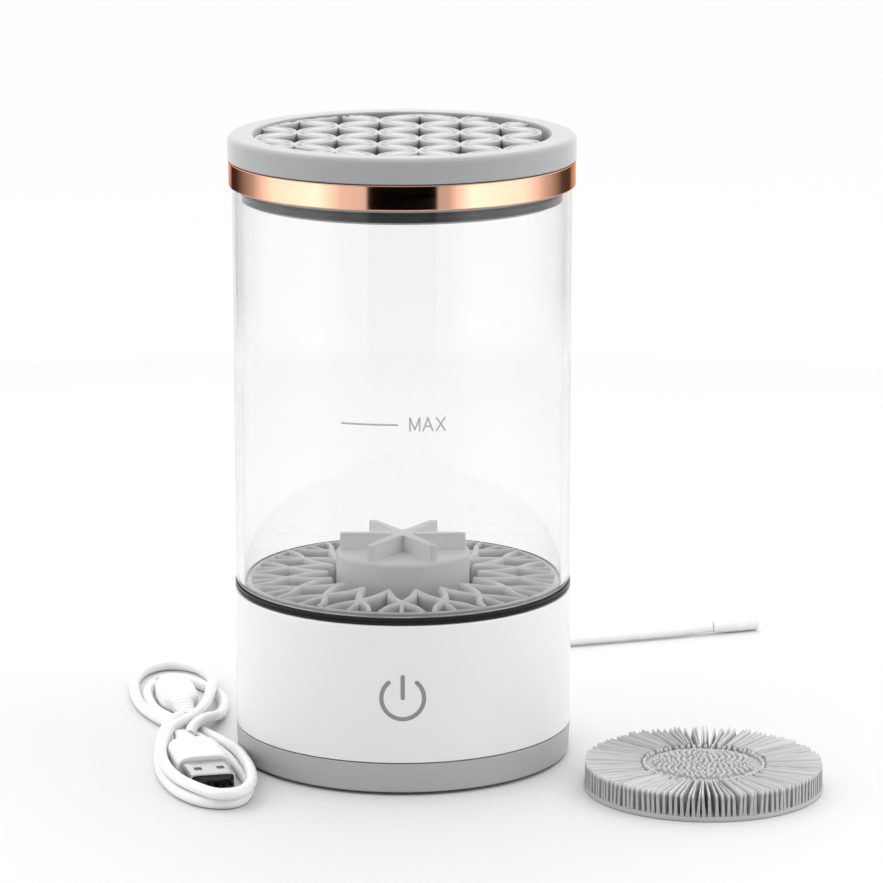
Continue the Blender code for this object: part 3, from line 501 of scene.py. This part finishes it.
def soft_box(sections, corner=3.2, around=40):
    """Loft rounded rectangles along +Y; each section is (y, half width, bottom, top)."""
    shape = Shape()
    rows = []
    for y, half, bottom, top in sections:
        middle, tall = (bottom + top) / 2, (top - bottom) / 2
        row = []
        for step in range(around):
            angle = math.tau * step / around
            c, s = math.cos(angle), math.sin(angle)
            reach = (abs(c) ** corner + abs(s) ** corner) ** (-1 / corner)
            row.append((half * c * reach, y, middle + tall * s * reach))
        rows.append(row)
    shape.grid(rows, close_columns=True, ends=True)
    return shape


def soft_boxes(offsets, sections, corner, around):
    """Loft the same soft box at several places along X."""
    shape = Shape()
    for offset in offsets:
        box = soft_box(sections, corner, around)
        shape.add([(x + offset, y, z) for x, y, z in box.points], box.faces)
    return shape


def ribbed(start, end, ribs, half, bottom, top, groove=0.35):
    """Return the sections of a strain relief whose ribs run from start to end."""
    sections = []
    span = (end - start) / ribs
    for rib in range(ribs):
        at = start + span * rib
        grow = rib / max(1, ribs - 1)
        wide, low, high = (first + (last - first) * grow for first, last in (half, bottom, top))
        for share, cut in ((0.0, groove), (0.14, 0.0), (0.62, 0.0), (0.76, groove)):
            sections.append((at + span * share, wide - cut, low + cut, high - cut))
    return sections


def make_supply_cord():
    """Captive cord from the rear outlet to its slim in-line socket."""
    white = MATERIALS["cord_white"]
    route = smooth_route(CORD_ROUTE, 4)
    cord = tube("cord_supply", route, CORD_R, white, "base", ["supply_cord"])

    relief = [(0, RELIEF_START), (RELIEF_R, RELIEF_START), (RELIEF_R, RELIEF_START + 1.4)]
    for rib in range(RELIEF_RIBS):
        at = RELIEF_START + 1.7 + rib * RELIEF_PITCH
        size = RELIEF_R - 0.2 - rib * 0.24
        relief += [(size - 0.45, at), (size, at + 0.25), (size - 0.05, at + 1.25), (size - 0.5, at + 1.5)]
    relief += [(CORD_R + 0.25, RELIEF_END), (0, RELIEF_END)]
    sleeve = piece("cord_relief", turned(relief, segments=48), white, "base", ["strain_relief"],
                   lying((0, 0, OUTLET_Z), 0), 50)

    direction = (route[-1] - route[-2]).normalized()
    start = route[-1] + direction * SOCKET_GAP
    turn = math.degrees(math.atan2(direction.y, direction.x)) - 90
    matrix = lying((start.x, start.y, CORD_ROUTE[-1][2]), turn)
    shape = turned(((0, 0), (CORD_R + 0.1, 0), (SOCKET_R, 5.0), (SOCKET_R, SOCKET_LENGTH),
                    (SOCKET_BORE, SOCKET_LENGTH), (SOCKET_BORE, SOCKET_DEPTH), (0, SOCKET_DEPTH)),
                   (0, 0.3, 3.0, 0.35, 0.2, 0.1, 0), 48, closed=False)
    socket = piece("cord_socket", shape, white, "base", ["inline_socket"], matrix)
    shape = turned(((0, SOCKET_DEPTH), (PIN_R, SOCKET_DEPTH), (PIN_R, SOCKET_LENGTH - 1),
                    (0, SOCKET_LENGTH - 1)), (0, 0, 0.4, 0), 24, closed=False)
    pin = piece("cord_socket_pin", shape, MATERIALS["steel"], "base", ["socket_contact"], matrix)


def make_usb_plug():
    """USB plug: white moulded body, folded metal shell, two dark pads of painted shade where its holes are,
    tongue and contacts.
    """
    matrix = heading((*USB_REAR, 0), USB_AIM)
    sections = [(-14.0, 1.75, 1.4, 4.9), (-13.6, 1.95, 1.2, 5.1)]
    sections += ribbed(-12.5, -1.6, 6, (2.0, 3.1), (1.1, 0.7), (5.2, 6.2))
    sections += [(-1.2, 3.2, 0.7, 6.2), (-0.4, 4.6, 0.6, 6.8), (0.8, 5.6, 0.45, 7.2), (2.6, 6.4, 0.3, 7.6),
                 (5.0, 6.9, 0.25, 7.75), (12.0, 7.1, 0.25, 7.8), (18.6, 7.2, 0.25, 7.8),
                 (19.6, 7.05, 0.4, 7.65), (20.0, 6.7, 0.7, 7.35)]
    body = piece("usb_body", soft_box(sections, 4.0, 48), MATERIALS["cord_white"], "lead",
                 ["usb_plug_body"], matrix)
    outer, inner, around = (6.0, 1.7, 6.2), (5.6, 2.1, 5.8), 48
    rows = [soft_box([(y, *section)] * 2, 9.0, around).points[:around]
            for section, ends in ((outer, (20.3, 32.3)), (inner, (32.3, 21.2))) for y in ends]
    shape = Shape()
    shape.grid(rows, close_columns=True)
    shape.add(rows[-1], [tuple(range(around))])
    shell = piece("usb_shell", shape, MATERIALS["steel"], "lead", ["usb_plug_shell"], matrix)
    dark = MATERIALS["dark_plastic"]
    # Two thin dark pads on the shell stand for its holes: painted shade, in the tongue's dark plastic.
    shape = soft_boxes((-3.0, 3.0), [(26.0, 1.0, 6.15, 6.26), (28.2, 1.0, 6.15, 6.26)], 8.0, 24)
    hole_shade_pads = piece("usb_shell_hole_shade", shape, dark, "lead", (), matrix)
    shape = soft_box([(22.0, 5.1, 3.9, 5.5), (31.4, 5.1, 3.9, 5.5), (31.7, 4.9, 4.1, 5.3)], 8.0, 32)
    tongue = piece("usb_tongue", shape, dark, "lead", ["usb_plug_tongue"], matrix)
    shape = soft_boxes((-3.5, -1.0, 1.0, 3.5), [(24.0, 0.5, 3.72, 3.95), (30.6, 0.5, 3.72, 3.95)], 8.0, 16)
    contacts = piece("usb_contacts", shape, MATERIALS["brass"], "lead", (), matrix)
    return [body, shell, hole_shade_pads, tongue, contacts]


def make_micro_plug():
    """Micro plug: white moulded body with a ribbed tail and a thin metal shell."""
    matrix = heading((*MICRO_REAR, 0), MICRO_AIM)
    sections = [(-13.4, 1.75, 1.4, 4.9), (-13.0, 1.95, 1.2, 5.1)]
    sections += ribbed(-12.0, -1.6, 5, (2.1, 3.0), (1.1, 0.8), (5.1, 6.0))
    sections += [(-1.2, 3.1, 0.8, 6.0), (-0.2, 4.2, 0.6, 6.6), (1.4, 4.9, 0.5, 7.0), (4.0, 5.4, 0.4, 7.2),
                 (11.0, 5.4, 0.4, 7.2), (16.5, 4.8, 0.6, 6.9), (18.6, 4.2, 0.9, 6.5), (19.0, 3.8, 1.3, 6.1)]
    body = piece("micro_body", soft_box(sections, 3.6, 48), MATERIALS["cord_white"], "lead",
                 ["micro_plug_body"], matrix)
    shape = soft_box([(19.2, 3.45, 2.8, 4.7), (24.3, 3.45, 2.8, 4.7), (24.6, 3.3, 2.95, 4.55)], 6.0, 40)
    shell = piece("micro_shell", shape, MATERIALS["steel"], "lead", ["micro_plug_shell"], matrix)
    return [body, shell]


def make_lead():
    """Loose charging lead with its two plugs."""
    route = smooth_route(LEAD_ROUTE, 4)
    lead = tube("lead_cord", route, LEAD_R, MATERIALS["cord_white"], "lead", ["lead_hank"])
    plugs = make_usb_plug() + make_micro_plug()


# ---- base and cup

def make_base():
    """White shell with its cord outlet, grey foot ring and black seam ring."""
    shape = turned(((LEDGE_R, SHELL_BOTTOM), (SHELL_R, SHELL_BOTTOM), (SHELL_R, TAPER_BOTTOM),
                    (SHELL_R - SHELL_TAPER, SHELL_TOP), (COLLAR_R, SHELL_TOP), (COLLAR_R, LEDGE_Z),
                    (LEDGE_R, LEDGE_Z)), (0, 0.25, 0, 0.55, 0.15, 0, 0))
    shell = piece("shell_white", shape, MATERIALS["white_shell"], "base", ["base_shell"])
    bore = turned(((0, OUTLET_START), (OUTLET_R, OUTLET_START), (OUTLET_R, OUTLET_END), (0, OUTLET_END)),
                  segments=48)
    drill = piece("outlet_drill", bore, MATERIALS["white_shell"], "base", matrix=lying((0, 0, OUTLET_Z), 0))
    cut = shell.modifiers.new("cord_hole", "BOOLEAN")
    cut.operation = "DIFFERENCE"
    cut.solver = "EXACT"
    cut.object = drill
    settled = bpy.data.meshes.new_from_object(shell.evaluated_get(bpy.context.evaluated_depsgraph_get()))
    shell.modifiers.clear()
    shell.data = settled
    bpy.data.objects.remove(drill, do_unlink=True)

    shape = turned(((FOOT_BORE, FOOT_BOTTOM), (FOOT_SOLE_R, FOOT_BOTTOM), (FOOT_R, FOOT_TOP),
                    (FOOT_BORE, FOOT_TOP)), (0.2, 0.5, 0.2, 0))
    piece("foot_grey", shape, MATERIALS["grey_foot"], "base", ["foot_ring"])
    groove = [(SEAM_R - depth, SEAM_GROOVE_Z + rise)
              for depth, rise in ((0, -0.2), (SEAM_GROOVE, -0.1), (SEAM_GROOVE, 0.1), (0, 0.2))]
    shape = turned(((COLLAR_R, SEAM_BOTTOM), (SEAM_R, SEAM_BOTTOM), *groove, (SEAM_R, SEAM_TOP),
                    (COLLAR_R, SEAM_TOP)), (0, 0.25, 0.04, 0, 0, 0.04, 0.25, 0.2))
    piece("seam_black", shape, MATERIALS["black_rubber"], "base", ["cup_gasket"])


def wrap_on(radius, flat):
    """Wrap flat (x, z) points round the front of a cylinder."""
    return [(radius * math.sin(x / radius), -radius * math.cos(x / radius), z) for x, z in flat]


def stroke(shape, line, half, radius, thickness=0.03, cap_steps=6):
    """Print a round-ended line of flat (x, z) points on a cylinder as a thin raised band."""
    points = [Vector(point) for point in line]
    left, right = [], []
    for index, point in enumerate(points):
        along = points[min(index + 1, len(points) - 1)] - points[max(index - 1, 0)]
        side = Vector((-along.y, along.x)).normalized() * half
        left.append(point + side)
        right.append(point - side)
    outline = left[:]
    for tip, previous, back in ((points[-1], points[-2], right[::-1]), (points[0], points[1], [])):
        towards = (tip - previous).normalized() * half
        side = Vector((-towards.y, towards.x))
        for step in range(1, cap_steps):
            angle = math.pi * step / cap_steps
            outline.append(tip + side * math.cos(angle) + towards * math.sin(angle))
        outline += back
    inner, outer = wrap_on(radius, outline), wrap_on(radius + thickness, outline)
    count, middle = len(outline), len(left)
    opposite = 2 * middle + cap_steps - 2
    quads = [(i, i + 1, opposite - i - 1, opposite - i) for i in range(middle - 1)]
    caps = [tuple(range(middle - 1, middle + cap_steps)), (*range(opposite, count), 0)]
    faces = [(i, (i + 1) % count, (i + 1) % count + count, i + count) for i in range(count)]
    faces += [tuple(i + count for i in face) for face in quads + caps]
    faces += [quad[::-1] for quad in quads] + caps
    shape.add(inner + outer, faces)


def make_power_mark():
    """Printed ring with a gap at the top and a bar through it."""
    shape = Shape()
    arc = []
    for step in range(73):
        x, z = on_circle(POWER_R, 90 + POWER_GAP + (360 - 2 * POWER_GAP) * step / 72)
        arc.append((POWER_X + x, POWER_Z + z))
    bar = [(POWER_X, POWER_Z + POWER_R + 0.2 - 5.7 * step / 8) for step in range(9)]
    for line in (arc, bar):
        stroke(shape, line, POWER_HALF, SHELL_R - 0.03)
    piece("power_mark", shape, PRINT_GREY, "base", weld=False)


def make_cup():
    """Clear cup with a rounded lip and its printed level mark."""
    shape = turned(((CUP_BORE, TONGUE_BOTTOM), (TONGUE_R, TONGUE_BOTTOM), (TONGUE_R, CUP_BOTTOM),
                    (CUP_R, CUP_BOTTOM), (CUP_R, CUP_TOP), (CUP_BORE, CUP_TOP)),
                   (0.4, 0.4, 0.2, 0.5, 0.7, 0.7), FINE_AROUND)
    piece("cup_clear", shape, MATERIALS["clear_cup"], "cup_body", ["cup"], smooth_angle=60)

    shape = Shape()
    level = [(LEVEL_X + LEVEL_LENGTH * step / 12, LEVEL_Z) for step in range(13)]
    stroke(shape, level, LEVEL_HALF, CUP_R + PRINT_GAP)
    letters = {
        "M": (((0, 0), (0, 1)), ((0, 1), (0.37, 0.1)), ((0.37, 0.1), (0.74, 1)), ((0.74, 1), (0.74, 0))),
        "A": (((0, 0), (0.37, 1)), ((0.37, 1), (0.74, 0)), ((0.15, 0.34), (0.59, 0.34))),
        "X": (((0, 0), (0.66, 1)), ((0, 1), (0.66, 0))),
    }
    at = WORD_X
    for letter, advance in (("M", 3.4), ("A", 3.5), ("X", 0)):
        for start, end in letters[letter]:
            first, last = Vector(start) * LETTER_HEIGHT, Vector(end) * LETTER_HEIGHT
            line = [Vector((at, WORD_Z)) + first.lerp(last, share) for share in (0, 0.5, 1)]
            stroke(shape, line, LETTER_HALF, CUP_R + PRINT_GAP)
        at += advance
    piece("level_mark", shape, PALE_PRINT, "cup_body", weld=False)


# ---- lid

def petal_relief(edge):
    """Depth of a petal's top below the lattice's highest line, by distance from its edge."""
    if edge < PETAL_EDGE:
        return PETAL_EDGE * (1 - edge / PETAL_EDGE) ** 2
    if GROOVE_START < edge < GROOVE_END:
        share = (edge - GROOVE_START) / (GROOVE_END - GROOVE_START)
        return GROOVE_DEPTH * math.sin(math.pi * share) ** 1.3
    return 0.0


def petal_rows(centre, axis_degrees, radius, heights, crosses, long_steps=18):
    """Rows of points on a petal between two arcs of a radius; its ends are mitred to its neighbours."""
    end = CELL / 2

    def width(along):
        return math.sqrt(radius ** 2 - along ** 2) - end

    low, high = 0.0, end       # the place where the arcs reach the mitre lies between these
    for _ in range(40):
        middle = (low + high) / 2
        if width(middle) < end - middle:
            low = middle
        else:
            high = middle
    reach, tip = high, width(high)
    turn = math.radians(axis_degrees)
    c, s = math.cos(turn), math.sin(turn)
    rows = []
    for step in range(long_steps + 1):
        share = math.sin(math.pi / 2 * (2 * step / long_steps - 1))
        row = []
        for cross in crosses:
            u = share * (reach + (1 - abs(cross)) * tip)
            v = cross * width(share * reach)
            edge = radius - max(math.hypot(u, v + end), math.hypot(u, v - end))
            x, y = centre[0] + u * c - v * s, centre[1] + u * s + v * c
            far = max(1.0, math.hypot(x, y) / LATTICE_R)
            row.append((x / far, y / far, heights(max(0.0, edge))))
        rows.append(row)
    return rows


def petal(shape, centre, axis_degrees):
    """One petal of the lattice: a ridged top over side walls that spread a little towards the foot."""
    half = [(step / 13) ** 0.85 for step in range(14)]
    crosses = [-cross for cross in half[:0:-1]] + half
    shape.grid(petal_rows(centre, axis_degrees, PETAL_R, lambda edge: FIELD_TOP - petal_relief(edge),
                          crosses))
    wall_top = FIELD_TOP - PETAL_EDGE
    walls = [petal_rows(centre, axis_degrees, PETAL_R + PETAL_SPREAD * share ** 1.3,
                        lambda edge, z=wall_top - (wall_top - LID_BOTTOM) * share: z,
                        (-1, 0, 1)) for share in (0, 0.25, 0.5, 0.75, 1)]
    for side in (0, -1):
        shape.grid([[row[side] for row in rows] for rows in walls])
    shape.grid(walls[-1])


def make_lid():
    """Silicone top of the lid: a soft-edged rim round a lattice of ridged petals."""
    shape = turned(((FIELD_R, LID_BOTTOM), (LID_R, LID_BOTTOM), (LID_R, LID_TOP - 0.45),
                    (LID_EDGE_R, LID_TOP), (FIELD_R, LID_TOP)), (0, 0.3, 1.5, 2.2, 0.55), FINE_AROUND, 7)
    piece("lid_rim", shape, MATERIALS["lid_silicone"], "lid", ["lid_top"], smooth_angle=50)

    shape = Shape()
    for column in range(-4, 5):
        for row in range(-4, 5):
            centre = (column * PITCH + LATTICE_SHIFT[0], row * PITCH + LATTICE_SHIFT[1])
            if math.hypot(*centre) < LATTICE_R - 1:
                petal(shape, centre, 45 if (column + row) % 2 else 135)
    piece("lid_lattice", shape, LATTICE_SILICONE_PAINTED_SHADE, "lid", (), smooth_angle=50)


def make_lid_plug():
    """Rose-gold band, the plastic plug inside it and the seal on the plug."""
    shape = turned(((BAND_BORE, BAND_BOTTOM), (BAND_R, BAND_BOTTOM), (BAND_R, BAND_TOP),
                    (BAND_BORE, BAND_TOP)), (0.1, 0.28, 0.28, 0.1), FINE_AROUND)
    piece("band_rose_gold", shape, MATERIALS["rose_gold"], "lid", ["lid_band"])
    shape = turned(((PLUG_BORE, PLUG_BOTTOM), (SKIRT_R, PLUG_BOTTOM), (SKIRT_R, SEAT_BOTTOM),
                    (SEAT_R, SEAT_BOTTOM), (SEAT_R, FLANGE_BOTTOM), (FLANGE_R, FLANGE_BOTTOM),
                    (FLANGE_R, BAND_TOP), (PLUG_BORE, BAND_TOP)), (0.3, 0.3, 0.1, 0.2, 0, 0.1, 0.1, 0.1))
    piece("lid_plug", shape, MATERIALS["frosted_plastic"], "lid", ["lid_carrier"])
    lips = [(SEAL_R + out, SEAL_Z + rise)
            for out, rise in ((0, -1.2), (0.4, -0.7), (0, 0), (0.4, 0.7), (0, 1.2))]
    shape = turned(((SEAL_BORE, SEAL_Z - 1.2), *lips, (SEAL_BORE, SEAL_Z + 1.2)),
                   (0.1, 0.2, 0.3, 0.2, 0.3, 0.2, 0.1))
    piece("lid_seal", shape, MATERIALS["black_rubber"], "lid", ["lid_gasket"])


# ---- scrub mat and hub

def blade(shape, points, halves, tops):
    """Raise a rib with a rounded top along a flat line; halves and tops hold its size at each point."""
    rows = []
    for index, point in enumerate(points):
        along = points[min(index + 1, len(points) - 1)] - points[max(index - 1, 0)]
        side = Vector((-along.y, along.x)).normalized()
        rows.append([(*(point + side * offset * halves[index]),
                      MAT_BOTTOM + (tops[index] - MAT_BOTTOM) * rise) for offset, rise in RIB_SECTION])
    shape.grid(rows, ends=True)
    shape.grid([[row[0] for row in rows], [row[-1] for row in rows]])


def bowed(start, through, end, bow, per_span=4):
    """Return points on a smooth curve from start through a middle point to end, bowed to the sides."""
    a, b, c = Vector(start), Vector(through), Vector(end)
    knots = [a]
    for first, last, side in ((a, b, 1), (b, c, -1)):
        along = (last - first).normalized()
        knots += [(first + last) / 2 + Vector((-along.y, along.x)) * bow * side, last]
    return [point.xy for point in smooth_route([(*knot, 0) for knot in knots], per_span)]


def dome_z(radius):
    """Height of the scrub mat's ribs at a distance from the axis."""
    if radius < NODE_R:
        share = max(0.0, (radius - TIP_R) / (NODE_R - TIP_R))
        return TIP_Z + (NODE_Z - TIP_Z) * share
    share = min(1.0, (radius - NODE_R) / (MAT_R - NODE_R))
    return NODE_Z + (EDGE_Z - NODE_Z) * share


def make_scrub_mat():
    """Silicone mat of tall crossing ribs that meet in points round the hub."""
    shape = Shape()
    step = 360 / MAT_FOLDS
    for fold in range(MAT_FOLDS):
        facing = 270 + step * fold
        node = on_circle(NODE_R, facing)
        for side in (-1, 1):
            tip = on_circle(TIP_R, facing + side * step / 2)
            end = on_circle(RIB_END_R, facing - side * step * 0.42)
            line = bowed(tip, node, end, RIB_BOW * side)
            halves = [RIB_HALF + RIB_SWELL * math.sin(math.pi * min(1, 0.12 + index / (len(line) - 1)))
                      for index in range(len(line))]
            blade(shape, line, halves, [dome_z(point.length) for point in line])
        spoke = [Vector(on_circle(NODE_R + (RIB_END_R - NODE_R) * share / 6, facing)) for share in range(7)]
        blade(shape, spoke, [RIB_HALF] * 7, [dome_z(point.length) - 0.2 for point in spoke])
    shape.lathe(rounded(((MAT_R - RIM_WIDTH, MAT_BOTTOM), (MAT_R, MAT_BOTTOM), (MAT_R, RIM_Z),
                         (MAT_R - RIM_WIDTH, RIM_Z)), (0, 0.2, 0.55, 0.55)))
    piece("mat_ribs", shape, RIB_SILICONE_PAINTED_SHADE, "mat", ["scrub_mat"], smooth_angle=55)


def make_hub():
    """Round hub with six upright vanes that meet in the middle."""
    drum = turned(((0, SHAFT_TOP), (SHAFT_R, SHAFT_TOP), (SHAFT_R, MAT_BOTTOM), (HUB_R, MAT_BOTTOM),
                   (HUB_R, HUB_TOP), (0, HUB_TOP)), (0, 0, 0, 0.3, 1.0, 0), 144, closed=False)
    hub = piece("hub_vanes", drum, LIGHT_SILICONE, "spinner", ["spinner_hub"],
                smooth_angle=60)
    bm = bmesh.new()
    half_turn = 180 / VANES
    reach = VANE_HALF / math.sin(math.radians(half_turn))
    outline = []
    for vane in range(VANES):
        facing = 2 * half_turn * vane
        along, across = Vector(on_circle(1, facing)), Vector(on_circle(1, facing + 90))
        outline += [Vector(on_circle(reach, facing - half_turn)), along * VANE_R - across * VANE_HALF,
                    along * VANE_R + across * VANE_HALF]
    low = [bm.verts.new((*(point * MM), (HUB_TOP - 0.6) * MM)) for point in outline]
    high = [bm.verts.new((*(point * MM), VANE_TOP * MM)) for point in outline]
    top = bm.faces.new(high)
    bottom = bm.faces.new(low[::-1])
    for index in range(len(outline)):
        bm.faces.new((low[index - 1], low[index], high[index], high[index - 1]))
    # Round the vanes' upper edges and the uprights at their ends
    edges = [edge for edge in bm.edges if top in edge.link_faces
             or (bottom not in edge.link_faces and edge.verts[0].co.xy.length > HUB_R / 2 * MM)]
    bmesh.ops.bevel(bm, geom=edges, offset=0.32 * MM, segments=4, affect="EDGES",
                    profile=0.5, clamp_overlap=True)
    bmesh.ops.recalc_face_normals(bm, faces=bm.faces)
    bm.from_mesh(hub.data)
    bm.to_mesh(hub.data)
    bm.free()
    hub.data.shade_smooth()
    hub.data.set_sharp_from_angle(angle=math.radians(50))


# ---- spare mat

def make_spare_mat():
    """Spare mat: thin disc, dense radial fins and a raised middle covered in small nubs."""
    shape = turned(((0, 0.1), (SPARE_R, 0.1), (SPARE_R, SPARE_BASE), (CUSHION_R + 1, SPARE_BASE),
                    (CUSHION_R, CUSHION_TOP), (0, CUSHION_TOP)), (0, 0.3, 0.5, 0.3, 0.8, 0), 144,
                   closed=False, centre=SPARE_CENTRE)
    for number in range(FIN_COUNT):
        angle = 360 * (number + rng.uniform(-0.22, 0.22)) / FIN_COUNT
        inner = rng.uniform(16.4, 17.6)
        outer = SPARE_R - rng.uniform(0.25, 0.55)
        top = SPARE_TOP + rng.uniform(-0.45, 0.15)
        lean = rng.uniform(-0.5, 0.5)
        curl = rng.uniform(-0.3, 0.3)
        rows = []
        for station in range(FIN_STATIONS + 1):
            share = station / FIN_STATIONS
            radius = inner + (outer - inner) * share
            crest = top - 0.5 * (1 - share) + rng.uniform(-0.12, 0.12)
            half = 0.0105 * radius + 0.1
            side = Vector(on_circle(1, angle + 90))
            base = Vector(on_circle(radius, angle)) + Vector(SPARE_CENTRE)
            row = []
            for offset, rise in FIN_SECTION:
                sway = (lean + curl * (share - 0.5)) * rise * rise
                point = base + side * (offset * half + sway)
                row.append((point.x, point.y, SPARE_BASE - 0.1 + (crest - SPARE_BASE) * rise))
            rows.append(row)
        shape.grid(rows, ends=True)
    nubs = [(NUB_RING_R, 360 * index / NUB_RING_COUNT) for index in range(NUB_RING_COUNT)]
    nubs += [(NUB_FIELD_R * math.sqrt((index + 0.5) / NUB_FIELD_COUNT), GOLDEN_ANGLE * index)
             for index in range(NUB_FIELD_COUNT)]
    for radius, angle in nubs:
        x, y = on_circle(radius, angle + rng.uniform(-1.2, 1.2))
        size = rng.uniform(0.48, 0.62)
        tall = rng.uniform(0.95, 1.25)
        foot = CUSHION_TOP - 0.3
        sides = [(size * out, CUSHION_TOP + tall * rise) for out, rise in NUB_SECTION]
        shape.lathe(((0, foot), (size, foot), *sides, (0, CUSHION_TOP + tall)), 10,
                    (SPARE_CENTRE[0] + x, SPARE_CENTRE[1] + y))
    piece("spare_bristles", shape, SPARE_SILICONE_PAINTED_SHADE, "spare", ["spare_mat"], smooth_angle=60)


# ---- CAD nodes, stage and light

def finish_cad_nodes():
    """Give every CAD node that stays in view the material of its slot."""
    slots = {row["node"]: row["material_slot"] for row in frame["record"]["subparts"]}
    for name, node in frame["nodes"].items():
        if not node.hide_render:
            node.data.materials.clear()
            node.data.materials.append(MATERIALS[slots[name]])


def glow(name, strength_socket):
    """Return an emission material; strength_socket builds the nodes that give its strength."""
    made = bpy.data.materials.new(name)
    made.use_nodes = True
    tree = made.node_tree
    tree.nodes.clear()
    out = tree.nodes.new("ShaderNodeOutputMaterial")
    shine = tree.nodes.new("ShaderNodeEmission")
    tree.links.new(strength_socket(tree), shine.inputs["Strength"])
    tree.links.new(shine.outputs["Emission"], out.inputs["Surface"])
    return made


def staged(name, points, faces, unseen_by=()):
    """Add a stage object, in metres, that some kinds of ray don't see; return its mesh."""
    mesh = bpy.data.meshes.new(name)
    mesh.from_pydata([Vector(point) for point in points], [], faces)
    made = placed(name, mesh)
    for ray in unseen_by:
        setattr(made, f"visible_{ray}", False)
    return mesh


def card(name, left, right):
    """Stand a soft light at the side; it fades towards its upright edges and the camera misses it."""
    def strength(tree):
        place = tree.nodes.new("ShaderNodeTexCoord").outputs["UV"]
        fold = tree.nodes.new("ShaderNodeMath")
        fold.operation = "PINGPONG"
        fold.inputs[1].default_value = 0.5
        tree.links.new(one_axis(tree, place, "X"), fold.inputs[0])
        return ranged(tree, fold.outputs["Value"], SIDE_SKY, SIDE_CARD, 0, 0.4, soft=True)

    corners = [(*left, 0), (*right, 0), (*right, CARD_HEIGHT), (*left, CARD_HEIGHT)]
    mesh = staged(name, corners, [(0, 1, 2, 3)], ("camera", "transmission", "glossy"))
    layer = mesh.uv_layers.new(name="UVMap")
    for loop, place in zip(layer.data, ((0, 0), (1, 0), (1, 1), (0, 1))):
        loop.uv = place
    mesh.materials.append(glow(name, strength))


def reflector():
    """Ring that only glossy rays see; its brightness changes with the direction."""
    def strength(tree):
        attribute = tree.nodes.new("ShaderNodeAttribute")
        attribute.attribute_name = "glow"
        return attribute.outputs["Fac"]

    rows = [[], [], []]
    levels = []
    steps = 360
    for step in range(steps):
        degrees = -180 + 360 * step / steps
        for (start, low), (end, high) in zip(REFLECTOR, REFLECTOR[1:]):
            if start <= degrees <= end:
                levels.append(low + (high - low) * (degrees - start) / max(end - start, 1e-6))
                break
        turn = math.radians(degrees)
        for row, z in zip(rows, REFLECTOR_HEIGHTS):
            row.append((REFLECTOR_R * math.sin(turn), -REFLECTOR_R * math.cos(turn), z))
    faces = [(i + row, (i + 1) % steps + row, (i + 1) % steps + row + steps, i + row + steps)
             for row in (0, steps) for i in range(steps)]
    mesh = staged("reflector", [point for row in rows for point in row], faces,
                  ("camera", "diffuse", "transmission", "shadow", "volume_scatter"))
    layer = mesh.attributes.new("glow", "FLOAT", "POINT")
    layer.data.foreach_set("value", [1.0] * steps + levels * 2)
    mesh.materials.append(glow("reflector", strength))


def make_stage():
    """Pale floor, soft sky that is darker in front, cards at the sides and the reflector ring."""
    bpy.context.scene.view_settings.view_transform = "Standard"
    corners = [(x * FLOOR_HALF, y * FLOOR_HALF, 0) for x, y in ((-1, -1), (1, -1), (1, 1), (-1, 1))]
    floor = staged("floor", corners, [(0, 1, 2, 3)])
    floor.materials.append(surface("pale_floor", (FLOOR_ALBEDO,) * 3, 0.6, tint=0.004, patch=3,
                                   grain=200, bump=0.01))

    world = bpy.data.worlds.new("studio")
    world.use_nodes = True
    bpy.context.scene.world = world
    tree = world.node_tree
    tree.nodes["Background"].inputs["Color"].default_value = (1, 1, 1, 1)
    coords = tree.nodes.new("ShaderNodeTexCoord").outputs["Generated"]
    total = tree.nodes.new("ShaderNodeMath")
    skies = (("Y", FRONT_SKY, SIDE_SKY, -0.95, 0.1), ("Z", 0, TOP_SKY, 0.3, 0.8))
    for index, (axis, low, high, start, end) in enumerate(skies):
        sky = ranged(tree, one_axis(tree, coords, axis), low, high, start, end, soft=True)
        tree.links.new(sky, total.inputs[index])
    tree.links.new(total.outputs["Value"], tree.nodes["Background"].inputs["Strength"])

    card("card_left", (-0.62, -0.02), (-0.36, -0.46))
    card("card_right", (0.30, -0.46), (0.62, 0.02))
    reflector()


add_camera()
make_supply_cord()
make_lead()
make_base()
make_power_mark()
make_cup()
make_lid()
make_lid_plug()
make_scrub_mat()
make_hub()
make_spare_mat()
finish_cad_nodes()
make_stage()
